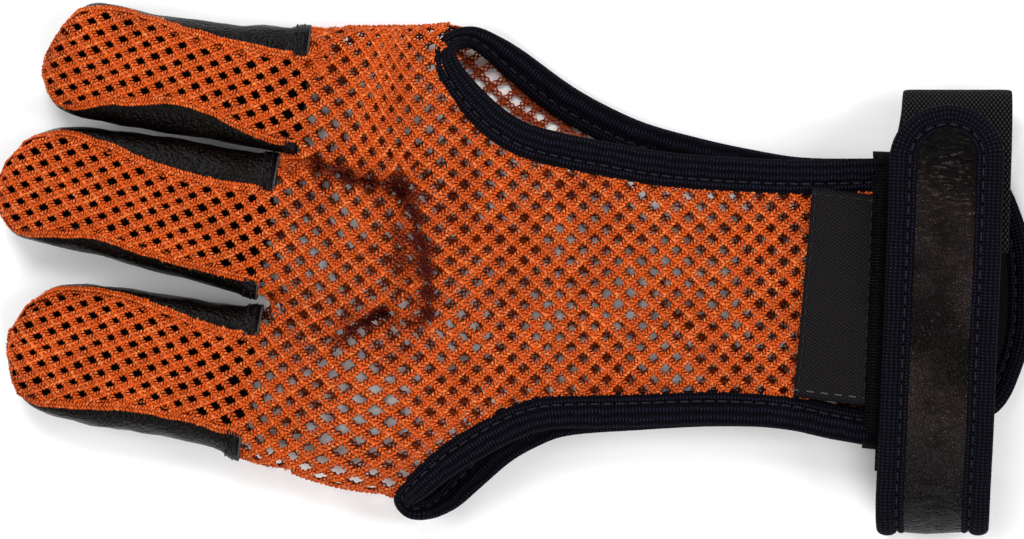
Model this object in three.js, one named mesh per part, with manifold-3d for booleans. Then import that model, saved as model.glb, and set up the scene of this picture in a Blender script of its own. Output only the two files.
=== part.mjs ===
// A three-finger archery glove lying palm down: a knitted net back and palm, leather finger stalls,
// ribbed bindings round both side openings, and a wrist loop with a leather strap over it.
// Millimetres, +Z up. Along runs from the knuckle edge (0) to the wrist (1), fingers towards -X.
import * as THREE from "three";
import { mergeGeometries, mergeVertices } from "three/addons/utils/BufferGeometryUtils.js";
import Module from "manifold-3d";

const wasm = await Module();
wasm.setup();

// Driving sizes of the hand
const HAND_LENGTH = 140;
const HAND_WIDTH = 108;
const HAND_HEIGHT = 18.5;
const HAND_SEAM = 7;
const FINGER_HEIGHT = 16;
const FINGER_SEAM = 6.7;
const INDEX_LENGTH = 69;
const INDEX_WIDTH = 0.25556 * HAND_WIDTH;
const MIDDLE_LENGTH = 72;
const MIDDLE_WIDTH = 0.29167 * HAND_WIDTH;
const RING_LENGTH = 65;
const RING_WIDTH = 0.30556 * HAND_WIDTH;

// Cloth and leather walls, and the gap that neighbouring pieces keep
const NET_WALL = 1.3;
const LEATHER_WALL = 1.4;
const GAP = 0.3;

// Net gaps: the coarse lattice of the hand, and the closer one of the fingers
const GAP_LENGTH = 13;
const GAP_WIDTH = 9.2;
const GAP_PITCH_ALONG = 22;
const GAP_PITCH_ACROSS = 15.6;
const FINGER_GAP_LENGTH = 9.5;
const FINGER_GAP_WIDTH = 5.2;
const FINGER_PITCH_ALONG = 17;
const FINGER_PITCH_ACROSS = 10.2;
const NET_MARGIN = 1.8;

// Bindings
const BINDING_WIDTH = 8;
const BINDING_THICKNESS = 3.2;

// Wrist: label, webbing across the back, elastic loop, palm pad and strap
const LABEL_LENGTH = 48;
const LABEL_WIDTH = 16.4;
const LABEL_THICKNESS = 1;
const WEBBING_WIDTH = 25;
const WEBBING_THICKNESS = 1.5;
const PAD_LENGTH = 62;
const PAD_WIDTH = 34;
const PAD_THICKNESS = 2.7;
const PAD_BINDING_WIDTH = 5.8;
const STRAP_WIDTH = 25;
const STRAP_LENGTH = 97.5;
const STRAP_THICKNESS = 1.6;
const STRAP_BINDING_WIDTH = 6.2;
const STRAP_SLANT = 0.038;
const HOOK_LENGTH = 22;
const HOOK_THICKNESS = 0.8;
const LOOP_REACH = 48.6;
const STRAP_SET_BACK = 2.6;
const STRAP_DROP = 5.2;
const STRAP_HEM = 14;
const CROWN_HALF = 52;
const TONGUE_LAP = 3;
const LABEL_SHIFT = 1.2;
const ELASTIC_SHIFT = 2.4;
const PAD_SHIFT = 2;
const HOOK_SET_BACK = 8;
const ELASTIC_PAST_HOOK = 10;
const MOUTH_LAP = 4;

// Hand sections: centre and half of the width, rise of the back, as shares of width and height
const HAND_ROWS = [
  { along: 0, centre: 0.028, half: 0.45, rise: 0.6 },
  { along: 0.046, centre: 0.038, half: 0.482, rise: 0.84 },
  { along: 0.107, centre: 0.029, half: 0.494, rise: 0.97 },
  { along: 0.172, centre: 0.022, half: 0.5, rise: 1 },
  { along: 0.23, centre: 0.01, half: 0.515, rise: 1 },
  { along: 0.288, centre: 0.013, half: 0.514, rise: 0.97 },
  { along: 0.361, centre: 0.038, half: 0.455, rise: 0.93 },
  { along: 0.435, centre: 0.037, half: 0.396, rise: 0.9 },
  { along: 0.526, centre: 0.012, half: 0.349, rise: 0.87 },
  { along: 0.624, centre: -0.012, half: 0.319, rise: 0.85 },
  { along: 0.723, centre: -0.028, half: 0.301, rise: 0.84 },
  { along: 0.838, centre: -0.044, half: 0.294, rise: 0.84 },
  { along: 1, centre: -0.064, half: 0.301, rise: 0.84 },
  { along: 1.25, centre: -0.07, half: 0.301, rise: 0.84 },
];

// Finger sections: shares of length, width and height; net and drift are the net strip's half
// width and its shift towards the index side, as shares of the half width
const INDEX_ROWS = [
  { along: 0, wide: 1.1, tall: 0.84, sway: 0, net: 0.7, drift: -0.15 },
  { along: 0.134, wide: 1.09, tall: 0.92, sway: 0.01, net: 0.7, drift: -0.14 },
  { along: 0.27, wide: 1.05, tall: 1, sway: 0.02, net: 0.69, drift: -0.1 },
  { along: 0.4, wide: 1, tall: 1, sway: 0.035, net: 0.65, drift: 0.05 },
  { along: 0.54, wide: 0.98, tall: 0.98, sway: 0.06, net: 0.63, drift: 0.19 },
  { along: 0.67, wide: 0.98, tall: 0.96, sway: 0.1, net: 0.74, drift: 0.2 },
  { along: 0.8, wide: 1, tall: 0.93, sway: 0.18, net: 0.82, drift: 0.12 },
  { along: 0.88, wide: 0.94, tall: 0.9, sway: 0.18, net: 0.9, drift: 0.04 },
  { along: 0.94, wide: 0.76, tall: 0.85, sway: 0.1, net: 0.98, drift: 0 },
  { along: 0.98, wide: 0.5, tall: 0.74, sway: 0.03, net: 1.1, drift: 0 },
  { along: 1, wide: 0.24, tall: 0.62, sway: 0, net: 1.5, drift: 0 },
];
const MIDDLE_ROWS = [
  { along: -0.08, wide: 1.08, tall: 0.8, sway: 0, net: 0.65, drift: -0.15 },
  { along: 0.136, wide: 1.06, tall: 0.92, sway: 0.03, net: 0.65, drift: -0.15 },
  { along: 0.28, wide: 1.03, tall: 1, sway: 0.06, net: 0.64, drift: -0.15 },
  { along: 0.41, wide: 1.01, tall: 1, sway: 0.09, net: 0.645, drift: -0.15 },
  { along: 0.54, wide: 0.98, tall: 0.98, sway: 0.12, net: 0.66, drift: -0.09 },
  { along: 0.67, wide: 0.93, tall: 0.96, sway: 0.14, net: 0.73, drift: 0.01 },
  { along: 0.8, wide: 0.9, tall: 0.93, sway: 0.13, net: 0.86, drift: 0.04 },
  { along: 0.88, wide: 0.82, tall: 0.9, sway: 0.09, net: 0.93, drift: 0.02 },
  { along: 0.94, wide: 0.68, tall: 0.84, sway: 0.03, net: 1, drift: 0 },
  { along: 0.98, wide: 0.46, tall: 0.74, sway: 0, net: 1.1, drift: 0 },
  { along: 1, wide: 0.22, tall: 0.62, sway: 0, net: 1.5, drift: 0 },
];
const RING_ROWS = [
  { along: -0.13, wide: 1.14, tall: 0.8, sway: -0.06, net: 0.67, drift: -0.03 },
  { along: 0.14, wide: 1.08, tall: 0.92, sway: 0, net: 0.67, drift: -0.03 },
  { along: 0.25, wide: 1.02, tall: 1, sway: 0.03, net: 0.67, drift: -0.03 },
  { along: 0.38, wide: 0.99, tall: 1, sway: 0.055, net: 0.7, drift: 0.01 },
  { along: 0.52, wide: 0.99, tall: 0.98, sway: 0.05, net: 0.76, drift: 0.08 },
  { along: 0.67, wide: 0.99, tall: 0.96, sway: 0.04, net: 0.82, drift: 0.1 },
  { along: 0.8, wide: 0.95, tall: 0.93, sway: 0.04, net: 0.9, drift: 0.06 },
  { along: 0.88, wide: 0.86, tall: 0.9, sway: 0.03, net: 0.95, drift: 0.02 },
  { along: 0.94, wide: 0.68, tall: 0.84, sway: 0, net: 1, drift: 0 },
  { along: 0.98, wide: 0.46, tall: 0.74, sway: 0, net: 1.1, drift: 0 },
  { along: 1, wide: 0.22, tall: 0.62, sway: 0, net: 1.5, drift: 0 },
];

// Fingers: where each root sits on the hand, its lean in degrees and the share where its leather ends
const FINGERS = [
  {
    name: "index",
    length: INDEX_LENGTH,
    width: INDEX_WIDTH,
    rootAlong: 0.107,
    rootAcross: 0.372,
    lean: 5.5,
    hem: 0.135,
    rows: INDEX_ROWS,
  },
  {
    name: "middle",
    length: MIDDLE_LENGTH,
    width: MIDDLE_WIDTH,
    rootAlong: 0.049,
    rootAcross: 0.076,
    lean: 9.2,
    hem: 0.136,
    rows: MIDDLE_ROWS,
  },
  {
    name: "ring",
    length: RING_LENGTH,
    width: RING_WIDTH,
    rootAlong: 0.016,
    rootAcross: -0.252,
    lean: 9.2,
    hem: 0.14,
    rows: RING_ROWS,
  },
];

// Edges of the two side openings, from the wrist along the back, round the crotch and back along
// the palm: shares of hand length and width, lift from palm (0) to back (1), share of binding width
const THUMB_EDGE = [
  { along: 0.979, across: 0.203, lift: 1, wide: 1 },
  { along: 0.854, across: 0.199, lift: 1, wide: 1 },
  { along: 0.723, across: 0.206, lift: 1, wide: 1 },
  { along: 0.621, across: 0.218, lift: 1, wide: 1 },
  { along: 0.526, across: 0.24, lift: 1, wide: 1 },
  { along: 0.46, across: 0.257, lift: 1, wide: 1 },
  { along: 0.398, across: 0.28, lift: 1, wide: 0.98 },
  { along: 0.357, across: 0.312, lift: 1, wide: 0.95 },
  { along: 0.325, across: 0.35, lift: 1, wide: 0.9 },
  { along: 0.297, across: 0.393, lift: 1, wide: 0.82 },
  { along: 0.278, across: 0.433, lift: 1, wide: 0.72 },
  { along: 0.273, across: 0.465, lift: 0.92, wide: 0.65 },
  { along: 0.288, across: 0.49, lift: 0.66, wide: 0.62 },
  { along: 0.317, across: 0.498, lift: 0.34, wide: 0.64 },
  { along: 0.358, across: 0.47, lift: 0.08, wide: 0.8 },
  { along: 0.388, across: 0.441, lift: 0, wide: 0.92 },
  { along: 0.46, across: 0.369, lift: 0, wide: 1 },
  { along: 0.521, across: 0.323, lift: 0, wide: 1 },
  { along: 0.591, across: 0.282, lift: 0, wide: 1 },
  { along: 0.69, across: 0.246, lift: 0, wide: 1 },
  { along: 0.764, across: 0.225, lift: 0, wide: 1 },
  { along: 0.854, across: 0.206, lift: 0, wide: 1 },
  { along: 0.979, across: 0.203, lift: 0, wide: 1 },
];
const LITTLE_EDGE = [
  { along: 0.962, across: -0.335, lift: 1, wide: 1 },
  { along: 0.91, across: -0.321, lift: 1, wide: 1 },
  { along: 0.838, across: -0.301, lift: 1, wide: 1 },
  { along: 0.723, across: -0.291, lift: 1, wide: 1 },
  { along: 0.591, across: -0.295, lift: 1, wide: 1 },
  { along: 0.526, across: -0.297, lift: 1, wide: 1 },
  { along: 0.44, across: -0.301, lift: 1, wide: 1 },
  { along: 0.391, across: -0.318, lift: 1, wide: 1 },
  { along: 0.335, across: -0.355, lift: 1, wide: 0.98 },
  { along: 0.276, across: -0.404, lift: 1, wide: 0.9 },
  { along: 0.23, across: -0.455, lift: 0.98, wide: 0.8 },
  { along: 0.207, across: -0.485, lift: 0.8, wide: 0.68 },
  { along: 0.217, across: -0.505, lift: 0.5, wide: 0.62 },
  { along: 0.245, across: -0.505, lift: 0.22, wide: 0.66 },
  { along: 0.278, across: -0.482, lift: 0.04, wide: 0.8 },
  { along: 0.312, across: -0.44, lift: 0, wide: 0.9 },
  { along: 0.361, across: -0.38, lift: 0, wide: 1 },
  { along: 0.411, across: -0.342, lift: 0, wide: 1 },
  { along: 0.46, across: -0.318, lift: 0, wide: 1 },
  { along: 0.591, across: -0.303, lift: 0, wide: 1 },
  { along: 0.723, across: -0.295, lift: 0, wide: 1 },
  { along: 0.838, across: -0.301, lift: 0, wide: 1 },
  { along: 0.91, across: -0.321, lift: 0, wide: 1 },
  { along: 0.962, across: -0.335, lift: 0, wide: 1 },
];

// Folds of the back net, as shares of hand length, width and height; a negative depth is a ridge
const FOLDS = [
  { along: 0.05, across: 0.255, toAlong: 0.215, toAcross: 0.17, reach: 0.04, depth: 0.13 },
  { along: 0.005, across: -0.075, toAlong: 0.19, toAcross: -0.11, reach: 0.04, depth: 0.14 },
  { along: 0.205, across: 0.2, toAlong: 0.225, toAcross: -0.15, reach: 0.045, depth: 0.13 },
  { along: 0.13, across: -0.13, toAlong: 0.2, toAcross: -0.05, reach: 0.035, depth: -0.09 },
  { along: 0.255, across: 0.23, toAlong: 0.27, toAcross: -0.17, reach: 0.05, depth: -0.06 },
  { along: 0.36, across: -0.1, toAlong: 0.56, toAcross: 0.08, reach: 0.07, depth: 0.05 },
];

// Binding section: a fold of knit in two rolls with a sewn groove between them
const BINDING_PROFILE = [
  { across: -0.5, up: 0 },
  { across: -0.4, up: 0.4 },
  { across: -0.22, up: 0.5 },
  { across: -0.03, up: 0.22 },
  { across: 0.16, up: 0.5 },
  { across: 0.4, up: 0.42 },
  { across: 0.5, up: 0 },
  { across: 0.36, up: -0.44 },
  { across: -0.36, up: -0.44 },
];

// Half of the palm pad's edge, from its straight end to its middle, as shares of reach and half length
const PAD_EDGE = [
  { out: 0, over: 1 },
  { out: 0.45, over: 1 },
  { out: 0.571, over: 1 },
  { out: 0.796, over: 0.893 },
  { out: 0.93, over: 0.609 },
  { out: 1, over: 0.3 },
];

// Turns of the elastic at the index side and of the strap at the other: inward from the furthest
// reach, and height as a share of the crown's
const ELASTIC_TURN = [
  { inward: 3.4, rise: 0.72 },
  { inward: 0.75, rise: 0.5 },
  { inward: 2.6, rise: 0.24 },
  { inward: 8, rise: 0.08 },
];
const STRAP_TURN = [
  { inward: 13, rise: 0.86 },
  { inward: 4.6, rise: 0.7 },
  { inward: 1.6, rise: 0.43 },
  { inward: 4.4, rise: 0.18 },
];

const WRIST_SHARE = 0.972;
const SLIM = 0.03;
const HAND_SIDES = 26;
const HAND_STATIONS = [0, 0.04, 0.08, 0.12, 0.16, 0.2, 0.24, 0.29, 0.36, 0.435, 0.526, 0.65, 0.8, 1, 1.25];
const FINGER_SIDES = 14;
const TOP_POWER = 2.6;
const FLOOR_POWER = 3.6;
const FLOOR_SINK = 1.2;

const lengthAt = (share) => share * HAND_LENGTH;
const widthAt = (share) => share * HAND_WIDTH;
const radians = THREE.MathUtils.degToRad;

// A smooth reader of a table whose rows are placed by their first column.
function reader(rows) {
  const columns = Object.keys(rows[0]).filter((name) => name !== "along");
  const places = rows.map((row) => row.along);
  const values = rows.flatMap((row) => columns.map((name) => row[name]));
  const curve = new THREE.CubicInterpolant(places, values, columns.length);
  return (along) => {
    const found = curve.evaluate(along);
    return Object.fromEntries(columns.map((name, i) => [name, found[i]]));
  };
}

// A closed skin through rings of points, with a fan at each end.
function skin(rings) {
  const count = rings[0].length;
  const centre = (ring) =>
    ring.reduce((sum, p) => sum.add(p), new THREE.Vector3()).divideScalar(count);
  const points = [...rings.flat(), centre(rings[0]), centre(rings.at(-1))];
  const first = points.length - 2;
  const last = points.length - 1;
  const end = (rings.length - 1) * count;
  const index = [];
  for (let i = 0; i < count; i++) {
    const next = (i + 1) % count;
    for (let r = 0; r < end; r += count) {
      index.push(r + i, r + next, r + count + next, r + i, r + count + next, r + count + i);
    }
    index.push(first, next, i, last, end + i, end + next);
  }
  const volume = index.reduce((sum, v, k) => {
    if (k % 3) return sum;
    return sum + points[v].dot(points[index[k + 1]].clone().cross(points[index[k + 2]]));
  }, 0);
  if (volume < 0) {
    index.reverse();
  }
  const geometry = new THREE.BufferGeometry().setFromPoints(points);
  geometry.setIndex(index);
  return geometry;
}

function solid(geometry) {
  const bare = geometry.clone();
  bare.deleteAttribute("normal");
  bare.deleteAttribute("uv");
  const merged = mergeVertices(bare, 1e-4);
  return new wasm.Manifold(
    new wasm.Mesh({
      numProp: 3,
      vertProperties: merged.attributes.position.array,
      triVerts: new Uint32Array(merged.index.array),
    }),
  );
}

const join = (solids) => solids.reduce((sum, next) => sum.add(next));

// An upright prism over a plan outline.
function prism(outline, low, high) {
  const shape = new THREE.Shape(outline.map(([x, y]) => new THREE.Vector2(x, y)));
  const geometry = new THREE.ExtrudeGeometry(shape, { depth: high - low, bevelEnabled: false });
  geometry.translate(0, 0, low);
  return solid(geometry);
}

// Drop of the back surface at a plan point, summed over the folds
function foldDrop(x, y) {
  return FOLDS.reduce((sum, fold) => {
    const from = new THREE.Vector3(lengthAt(fold.along), widthAt(fold.across), 0);
    const to = new THREE.Vector3(lengthAt(fold.toAlong), widthAt(fold.toAcross), 0);
    const nearest = new THREE.Line3(from, to).closestPointToPoint(
      new THREE.Vector3(x, y, 0),
      true,
      new THREE.Vector3(),
    );
    const share = Math.hypot(x - nearest.x, y - nearest.y) / widthAt(fold.reach);
    return sum + fold.depth * HAND_HEIGHT * Math.exp(-share * share);
  }, 0);
}

const power = (value, exponent) => Math.sign(value) * Math.abs(value) ** exponent;

// A flattened ring: half width, seam height, top, and the inset of the wall that it stands for
function ringPoints(sides, half, seam, top, inset) {
  return Array.from({ length: sides }, (_, k) => {
    const angle = (2 * Math.PI * k) / sides;
    const rise = Math.sin(angle);
    const shape = 2 / (rise > 0 ? TOP_POWER : FLOOR_POWER);
    const across = (half - inset) * power(Math.cos(angle), shape);
    const depth = rise > 0 ? top - inset - seam : seam + FLOOR_SINK - inset;
    const up = Math.max(seam + depth * power(rise, shape), inset);
    return { across, up, rise };
  });
}

const handAt = reader(HAND_ROWS);

// The hand's own loft, inset by a wall, or grown by a negative inset
function handBody(inset) {
  const rings = HAND_STATIONS.map((along, row) => {
    const section = handAt(along);
    const x = lengthAt(along) + (row ? 0 : Math.max(inset, 0));
    const ring = ringPoints(
      HAND_SIDES,
      widthAt(section.half),
      HAND_SEAM,
      section.rise * HAND_HEIGHT,
      inset,
    );
    return ring.map(({ across, up, rise }) => {
      const y = widthAt(section.centre) + across;
      const drop = rise > 0 ? rise * foldDrop(x, y) : 0;
      return new THREE.Vector3(x, y, up - drop);
    });
  });
  return solid(skin(rings));
}

// A finger's own frame: origin at its root, along towards the tip, side towards the index
function fingerFrame(finger) {
  const lean = radians(finger.lean);
  const along = new THREE.Vector3(-Math.cos(lean), Math.sin(lean), 0);
  const side = new THREE.Vector3(Math.sin(lean), Math.cos(lean), 0);
  const root = new THREE.Vector3(lengthAt(finger.rootAlong), widthAt(finger.rootAcross), 0);
  return (forward, sideways, up = 0) =>
    root.clone().addScaledVector(along, forward).addScaledVector(side, sideways).setZ(up);
}

function fingerTube(finger, inset) {
  const place = fingerFrame(finger);
  const half = finger.width / 2;
  const rings = finger.rows.map((row) => {
    const forward = row.along * (finger.length - Math.max(inset, 0));
    const ring = ringPoints(
      FINGER_SIDES,
      half * row.wide,
      FINGER_SEAM,
      row.tall * FINGER_HEIGHT,
      inset,
    );
    return ring.map(({ across, up, rise }) => {
      const point = place(forward, half * row.sway + across, up);
      const drop = rise > 0 ? rise * foldDrop(point.x, point.y) : 0;
      return point.setZ(up - drop);
    });
  });
  return solid(skin(rings));
}

// Height of the hand's back or palm surface at a plan point, measured to the middle of its wall
function surfaceHeight(x, y, onBack) {
  const section = handAt(x / HAND_LENGTH);
  const share = Math.min(Math.abs(y - widthAt(section.centre)) / widthAt(section.half), 1);
  const exponent = onBack ? TOP_POWER : FLOOR_POWER;
  const fall = (1 - share ** exponent) ** (1 / exponent);
  const middle = NET_WALL / 2;
  if (onBack) {
    const top = section.rise * HAND_HEIGHT - middle;
    return HAND_SEAM + (top - HAND_SEAM) * fall - fall * foldDrop(x, y);
  }
  return Math.max(HAND_SEAM - (HAND_SEAM + FLOOR_SINK - middle) * fall, middle);
}

// A rounded section swept along stations, each with a place, an up direction and its sizes
function sweep(stations, grow) {
  const rings = stations.map((station, k) => {
    const before = stations[Math.max(k - 1, 0)].place;
    const after = stations[Math.min(k + 1, stations.length - 1)].place;
    const forward = after.clone().sub(before).normalize();
    const across = forward.clone().cross(station.up).normalize();
    const up = across.clone().cross(forward);
    return BINDING_PROFILE.map((corner) =>
      station.place
        .clone()
        .addScaledVector(across, corner.across * (station.wide + 2 * grow))
        .addScaledVector(up, corner.up * (station.tall + 2 * grow)),
    );
  });
  if (grow) {
    for (const [ring, neighbour] of [
      [rings[0], rings[1]],
      [rings.at(-1), rings.at(-2)],
    ]) {
      ring.forEach((point, i) => point.add(point.clone().sub(neighbour[i]).setLength(grow)));
    }
  }
  return solid(skin(rings));
}

const UP = new THREE.Vector3(0, 0, 1);
const EDGE_STEPS = 2;

// Stations of a side opening's binding, laid on the back and palm surfaces
function edgeStations(rows) {
  const plan = new THREE.CatmullRomCurve3(
    rows.map((row) => new THREE.Vector3(lengthAt(row.along), widthAt(row.across), 0)),
  );
  const traits = new THREE.CatmullRomCurve3(
    rows.map((row) => new THREE.Vector3(row.lift, row.wide, 0)),
  );
  return plan.getPoints((rows.length - 1) * EDGE_STEPS).map((point, k, all) => {
    const { x: lift, y: wide } = traits.getPoint(k / (all.length - 1));
    const share = THREE.MathUtils.clamp(lift, 0, 1);
    const palm = Math.max(surfaceHeight(point.x, point.y, false), BINDING_THICKNESS / 2);
    const back = surfaceHeight(point.x, point.y, true);
    return {
      place: point.setZ(THREE.MathUtils.lerp(palm, back, share)),
      up: UP,
      wide: BINDING_WIDTH * wide,
      tall: BINDING_THICKNESS,
      onBack: share > 0.5,
    };
  });
}

const thumbEdge = edgeStations(THUMB_EDGE);
const littleEdge = edgeStations(LITTLE_EDGE);

const FAR = HAND_WIDTH;
const planOf = ({ place }) => [place.x, place.y];

// Plan outline of the back or the palm panel: bounded by the middles of both bindings
function panelOutline(onBack, wristEnd) {
  const pick = (edge) => {
    const run = edge.filter((station) => station.onBack === onBack).map(planOf);
    return onBack ? run : run.reverse();
  };
  const thumb = pick(thumbEdge);
  const little = pick(littleEdge).reverse();
  return [
    [wristEnd, thumb[0][1]],
    ...thumb,
    [thumb.at(-1)[0], FAR],
    [-FAR, FAR],
    [-FAR, -FAR],
    [little[0][0], -FAR],
    ...little,
    [wristEnd, little.at(-1)[1]],
  ];
}

// Plan outline of a finger between two shares of its length, as wide as its net strip or wider
function fingerOutline(finger, from, to, halfAt) {
  const place = fingerFrame(finger);
  const rowAt = reader(finger.rows);
  const steps = 8;
  const shares = Array.from({ length: steps + 1 }, (_, k) => from + ((to - from) * k) / steps);
  const edge = (sign) =>
    shares.map((share) => {
      const row = rowAt(Math.min(share, 1));
      const { middle, half } = halfAt(row);
      const point = place(share * finger.length, middle + sign * half);
      return [point.x, point.y];
    });
  return [...edge(1), ...edge(-1).reverse()];
}

const stripOf = (finger, grow) => (row) => ({
  middle: (finger.width / 2) * (row.sway + row.wide * row.drift),
  half: (finger.width / 2) * row.wide * row.net + grow,
});
const wholeOf = (finger) => (row) => ({
  middle: (finger.width / 2) * row.sway,
  half: (finger.width / 2) * row.wide + GAP,
});

const PAST_TIP = 1.05;
const stripPlan = (finger, grow) =>
  fingerOutline(finger, finger.hem - 0.01, PAST_TIP, stripOf(finger, grow));
const rootPlan = (finger) =>
  fingerOutline(finger, finger.rows[0].along, finger.hem, wholeOf(finger));
const stallPlan = (finger, gap) =>
  fingerOutline(finger, finger.hem + gap / finger.length, PAST_TIP, wholeOf(finger));

// The hollow hand and fingers, as one wall of net
const outer = join([handBody(0), ...FINGERS.map((finger) => fingerTube(finger, 0))]);
const hollow = join([handBody(NET_WALL), ...FINGERS.map((finger) => fingerTube(finger, NET_WALL))]);
const netWall = outer.subtract(hollow);

const wristEdge = lengthAt(WRIST_SHARE) + GAP;
const backOutline = panelOutline(true, wristEdge + TONGUE_LAP);
const palmOutline = panelOutline(false, wristEdge);
const clipToHand = (outline) => outline.map(([x, y]) => [Math.max(x, 0), y]);

// Diamond prisms on a staggered lattice, kept where the whole diamond lies well inside the panel
function diamonds(keep, place, span, pitchAlong, pitchAcross, long, wide, low, high) {
  const prisms = [];
  for (let row = -span.across; row <= span.across; row++) {
    for (let column = -span.along; column <= span.along; column++) {
      const forward = (column + (row % 2 ? 0.5 : 0)) * pitchAlong;
      const sideways = (row * pitchAcross) / 2;
      if (!keep(forward, sideways)) continue;
      const corners = [
        [long / 2, 0],
        [0, wide / 2],
        [-long / 2, 0],
        [0, -wide / 2],
      ].map(([a, b]) => place(forward + a, sideways + b));
      const shape = new THREE.Shape(corners.map((p) => new THREE.Vector2(p.x, p.y)));
      const gap = new THREE.ExtrudeGeometry(shape, { depth: high - low, bevelEnabled: false });
      prisms.push(gap.translate(0, 0, low));
    }
  }
  return prisms;
}

// Distance from a plan point to an outline, negative outside it
function depthInside([x, y], outline) {
  let nearest = Infinity;
  let inside = false;
  outline.forEach(([ax, ay], i) => {
    const [bx, by] = outline[(i + 1) % outline.length];
    const along = ((x - ax) * (bx - ax) + (y - ay) * (by - ay)) / ((bx - ax) ** 2 + (by - ay) ** 2 || 1);
    const t = THREE.MathUtils.clamp(along, 0, 1);
    nearest = Math.min(nearest, Math.hypot(x - ax - t * (bx - ax), y - ay - t * (by - ay)));
    if (ay > y !== by > y && x < ((bx - ax) * (y - ay)) / (by - ay) + ax) inside = !inside;
  });
  return inside ? nearest : -nearest;
}

const HAND_SPAN = { along: 8, across: 9 };
const FINGER_SPAN = { along: 6, across: 2 };
const SIDE_SHARE = 0.84;
const LAST_GAP_SHARE = 0.9;

function handGaps(outline, low, high, from) {
  const place = (forward, sideways) => new THREE.Vector3(forward, sideways, 0);
  const keep = (forward, sideways) => {
    const section = handAt(forward / HAND_LENGTH);
    const side = Math.abs(sideways - widthAt(section.centre)) + GAP_WIDTH / 2;
    const reach = BINDING_WIDTH / 2 + GAP_WIDTH / 2 + NET_MARGIN;
    return (
      side < SIDE_SHARE * widthAt(section.half) &&
      depthInside([forward, sideways], outline) > reach &&
      forward < wristEdge - LABEL_WIDTH - GAP_LENGTH / 2 &&
      forward > from
    );
  };
  return diamonds(
    keep,
    place,
    HAND_SPAN,
    GAP_PITCH_ALONG,
    GAP_PITCH_ACROSS,
    GAP_LENGTH,
    GAP_WIDTH,
    low,
    high,
  );
}

function fingerGaps(finger) {
  const frame = fingerFrame(finger);
  const rowAt = reader(finger.rows);
  const keep = (forward, sideways) => {
    const row = rowAt(forward / finger.length);
    const half = (finger.width / 2) * row.wide * Math.min(row.net, SIDE_SHARE);
    const reach = Math.abs(sideways) + FINGER_GAP_WIDTH / 2 + NET_MARGIN / 2;
    const share = forward / finger.length;
    return share > finger.hem && share < LAST_GAP_SHARE && reach < half;
  };
  const place = (forward, sideways) => {
    const row = rowAt(THREE.MathUtils.clamp(forward / finger.length, 0, 1));
    const middle = (finger.width / 2) * (row.sway + row.wide * row.drift);
    return frame(forward, middle + sideways);
  };
  return diamonds(
    keep,
    place,
    FINGER_SPAN,
    FINGER_PITCH_ALONG,
    FINGER_PITCH_ACROSS,
    FINGER_GAP_LENGTH,
    FINGER_GAP_WIDTH,
    FINGER_SEAM,
    FINGER_HEIGHT + HAND_HEIGHT,
  );
}

// Bindings, and the room that the net leaves for them
const thumbBinding = sweep(thumbEdge, 0);
const littleBinding = sweep(littleEdge, 0);
const bindingRoom = sweep(thumbEdge, GAP).add(sweep(littleEdge, GAP));

const CEILING = 2 * HAND_HEIGHT;
const stallRoom = join(FINGERS.map((finger) => prism(stallPlan(finger, 0), -1, CEILING)));
const largest = (shape) =>
  shape
    .decompose()
    .reduce((best, next) => (next.volume() > best.volume() ? next : best))
    .simplify(SLIM);

function backNet() {
  const strips = FINGERS.map((finger) =>
    prism(stripPlan(finger, 0), FINGER_SEAM + GAP / 2, CEILING),
  );
  const roots = FINGERS.map((finger) => prism(rootPlan(finger), HAND_SEAM + GAP / 2, CEILING));
  const hand = prism(clipToHand(backOutline), HAND_SEAM + GAP / 2, CEILING);
  const region = join([join([hand, ...roots]).subtract(stallRoom), ...strips]);
  const gaps = [
    ...FINGERS.flatMap(fingerGaps),
    ...handGaps(backOutline, HAND_SEAM, CEILING, GAP_LENGTH),
  ];
  return largest(
    netWall.intersect(region).subtract(bindingRoom).subtract(solid(mergeGeometries(gaps))),
  );
}

function palmNet() {
  const top = HAND_SEAM - GAP / 2;
  const roots = FINGERS.map((finger) => prism(rootPlan(finger), -1, top));
  const region = join([prism(clipToHand(palmOutline), -1, top), ...roots]).subtract(stallRoom);
  const gaps = handGaps(palmOutline, -1, top - 1, GAP_LENGTH / 2);
  return largest(
    netWall.intersect(region).subtract(bindingRoom).subtract(solid(mergeGeometries(gaps))),
  );
}

function stall(finger) {
  const wall = fingerTube(finger, 0).subtract(fingerTube(finger, LEATHER_WALL));
  const strip = prism(stripPlan(finger, GAP), FINGER_SEAM - GAP / 2, CEILING);
  return largest(wall.intersect(prism(stallPlan(finger, GAP), -1, CEILING)).subtract(strip));
}

// A band across the wrist: an outline in the upright Y-Z plane given a width along X
function band(curve, thickness, from, to, steps) {
  const points = curve.getPoints(steps);
  const edge = (sign) =>
    points.map((point, k) => {
      const forward = curve.getTangent(k / steps);
      return new THREE.Vector2(
        point.y - (sign * thickness * forward.z) / 2,
        point.z + (sign * thickness * forward.y) / 2,
      );
    });
  const shape = new THREE.Shape([...edge(1), ...edge(-1).reverse()]);
  const geometry = new THREE.ExtrudeGeometry(shape, { depth: to - from, bevelEnabled: false });
  const turn = new THREE.Matrix4().makeBasis(
    new THREE.Vector3(0, 1, 0),
    new THREE.Vector3(0, 0, 1),
    new THREE.Vector3(1, 0, 0),
  );
  geometry.applyMatrix4(turn).translate(from, 0, 0);
  return solid(geometry);
}

// A slanted rectangle in plan between two heights across the hand
function slanted(middleX, middleY, width, low, high) {
  const shift = (y) => STRAP_SLANT * (y - middleY);
  return [
    [middleX - width / 2 + shift(low), low],
    [middleX + width / 2 + shift(low), low],
    [middleX + width / 2 + shift(high), high],
    [middleX - width / 2 + shift(high), high],
  ];
}

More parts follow.
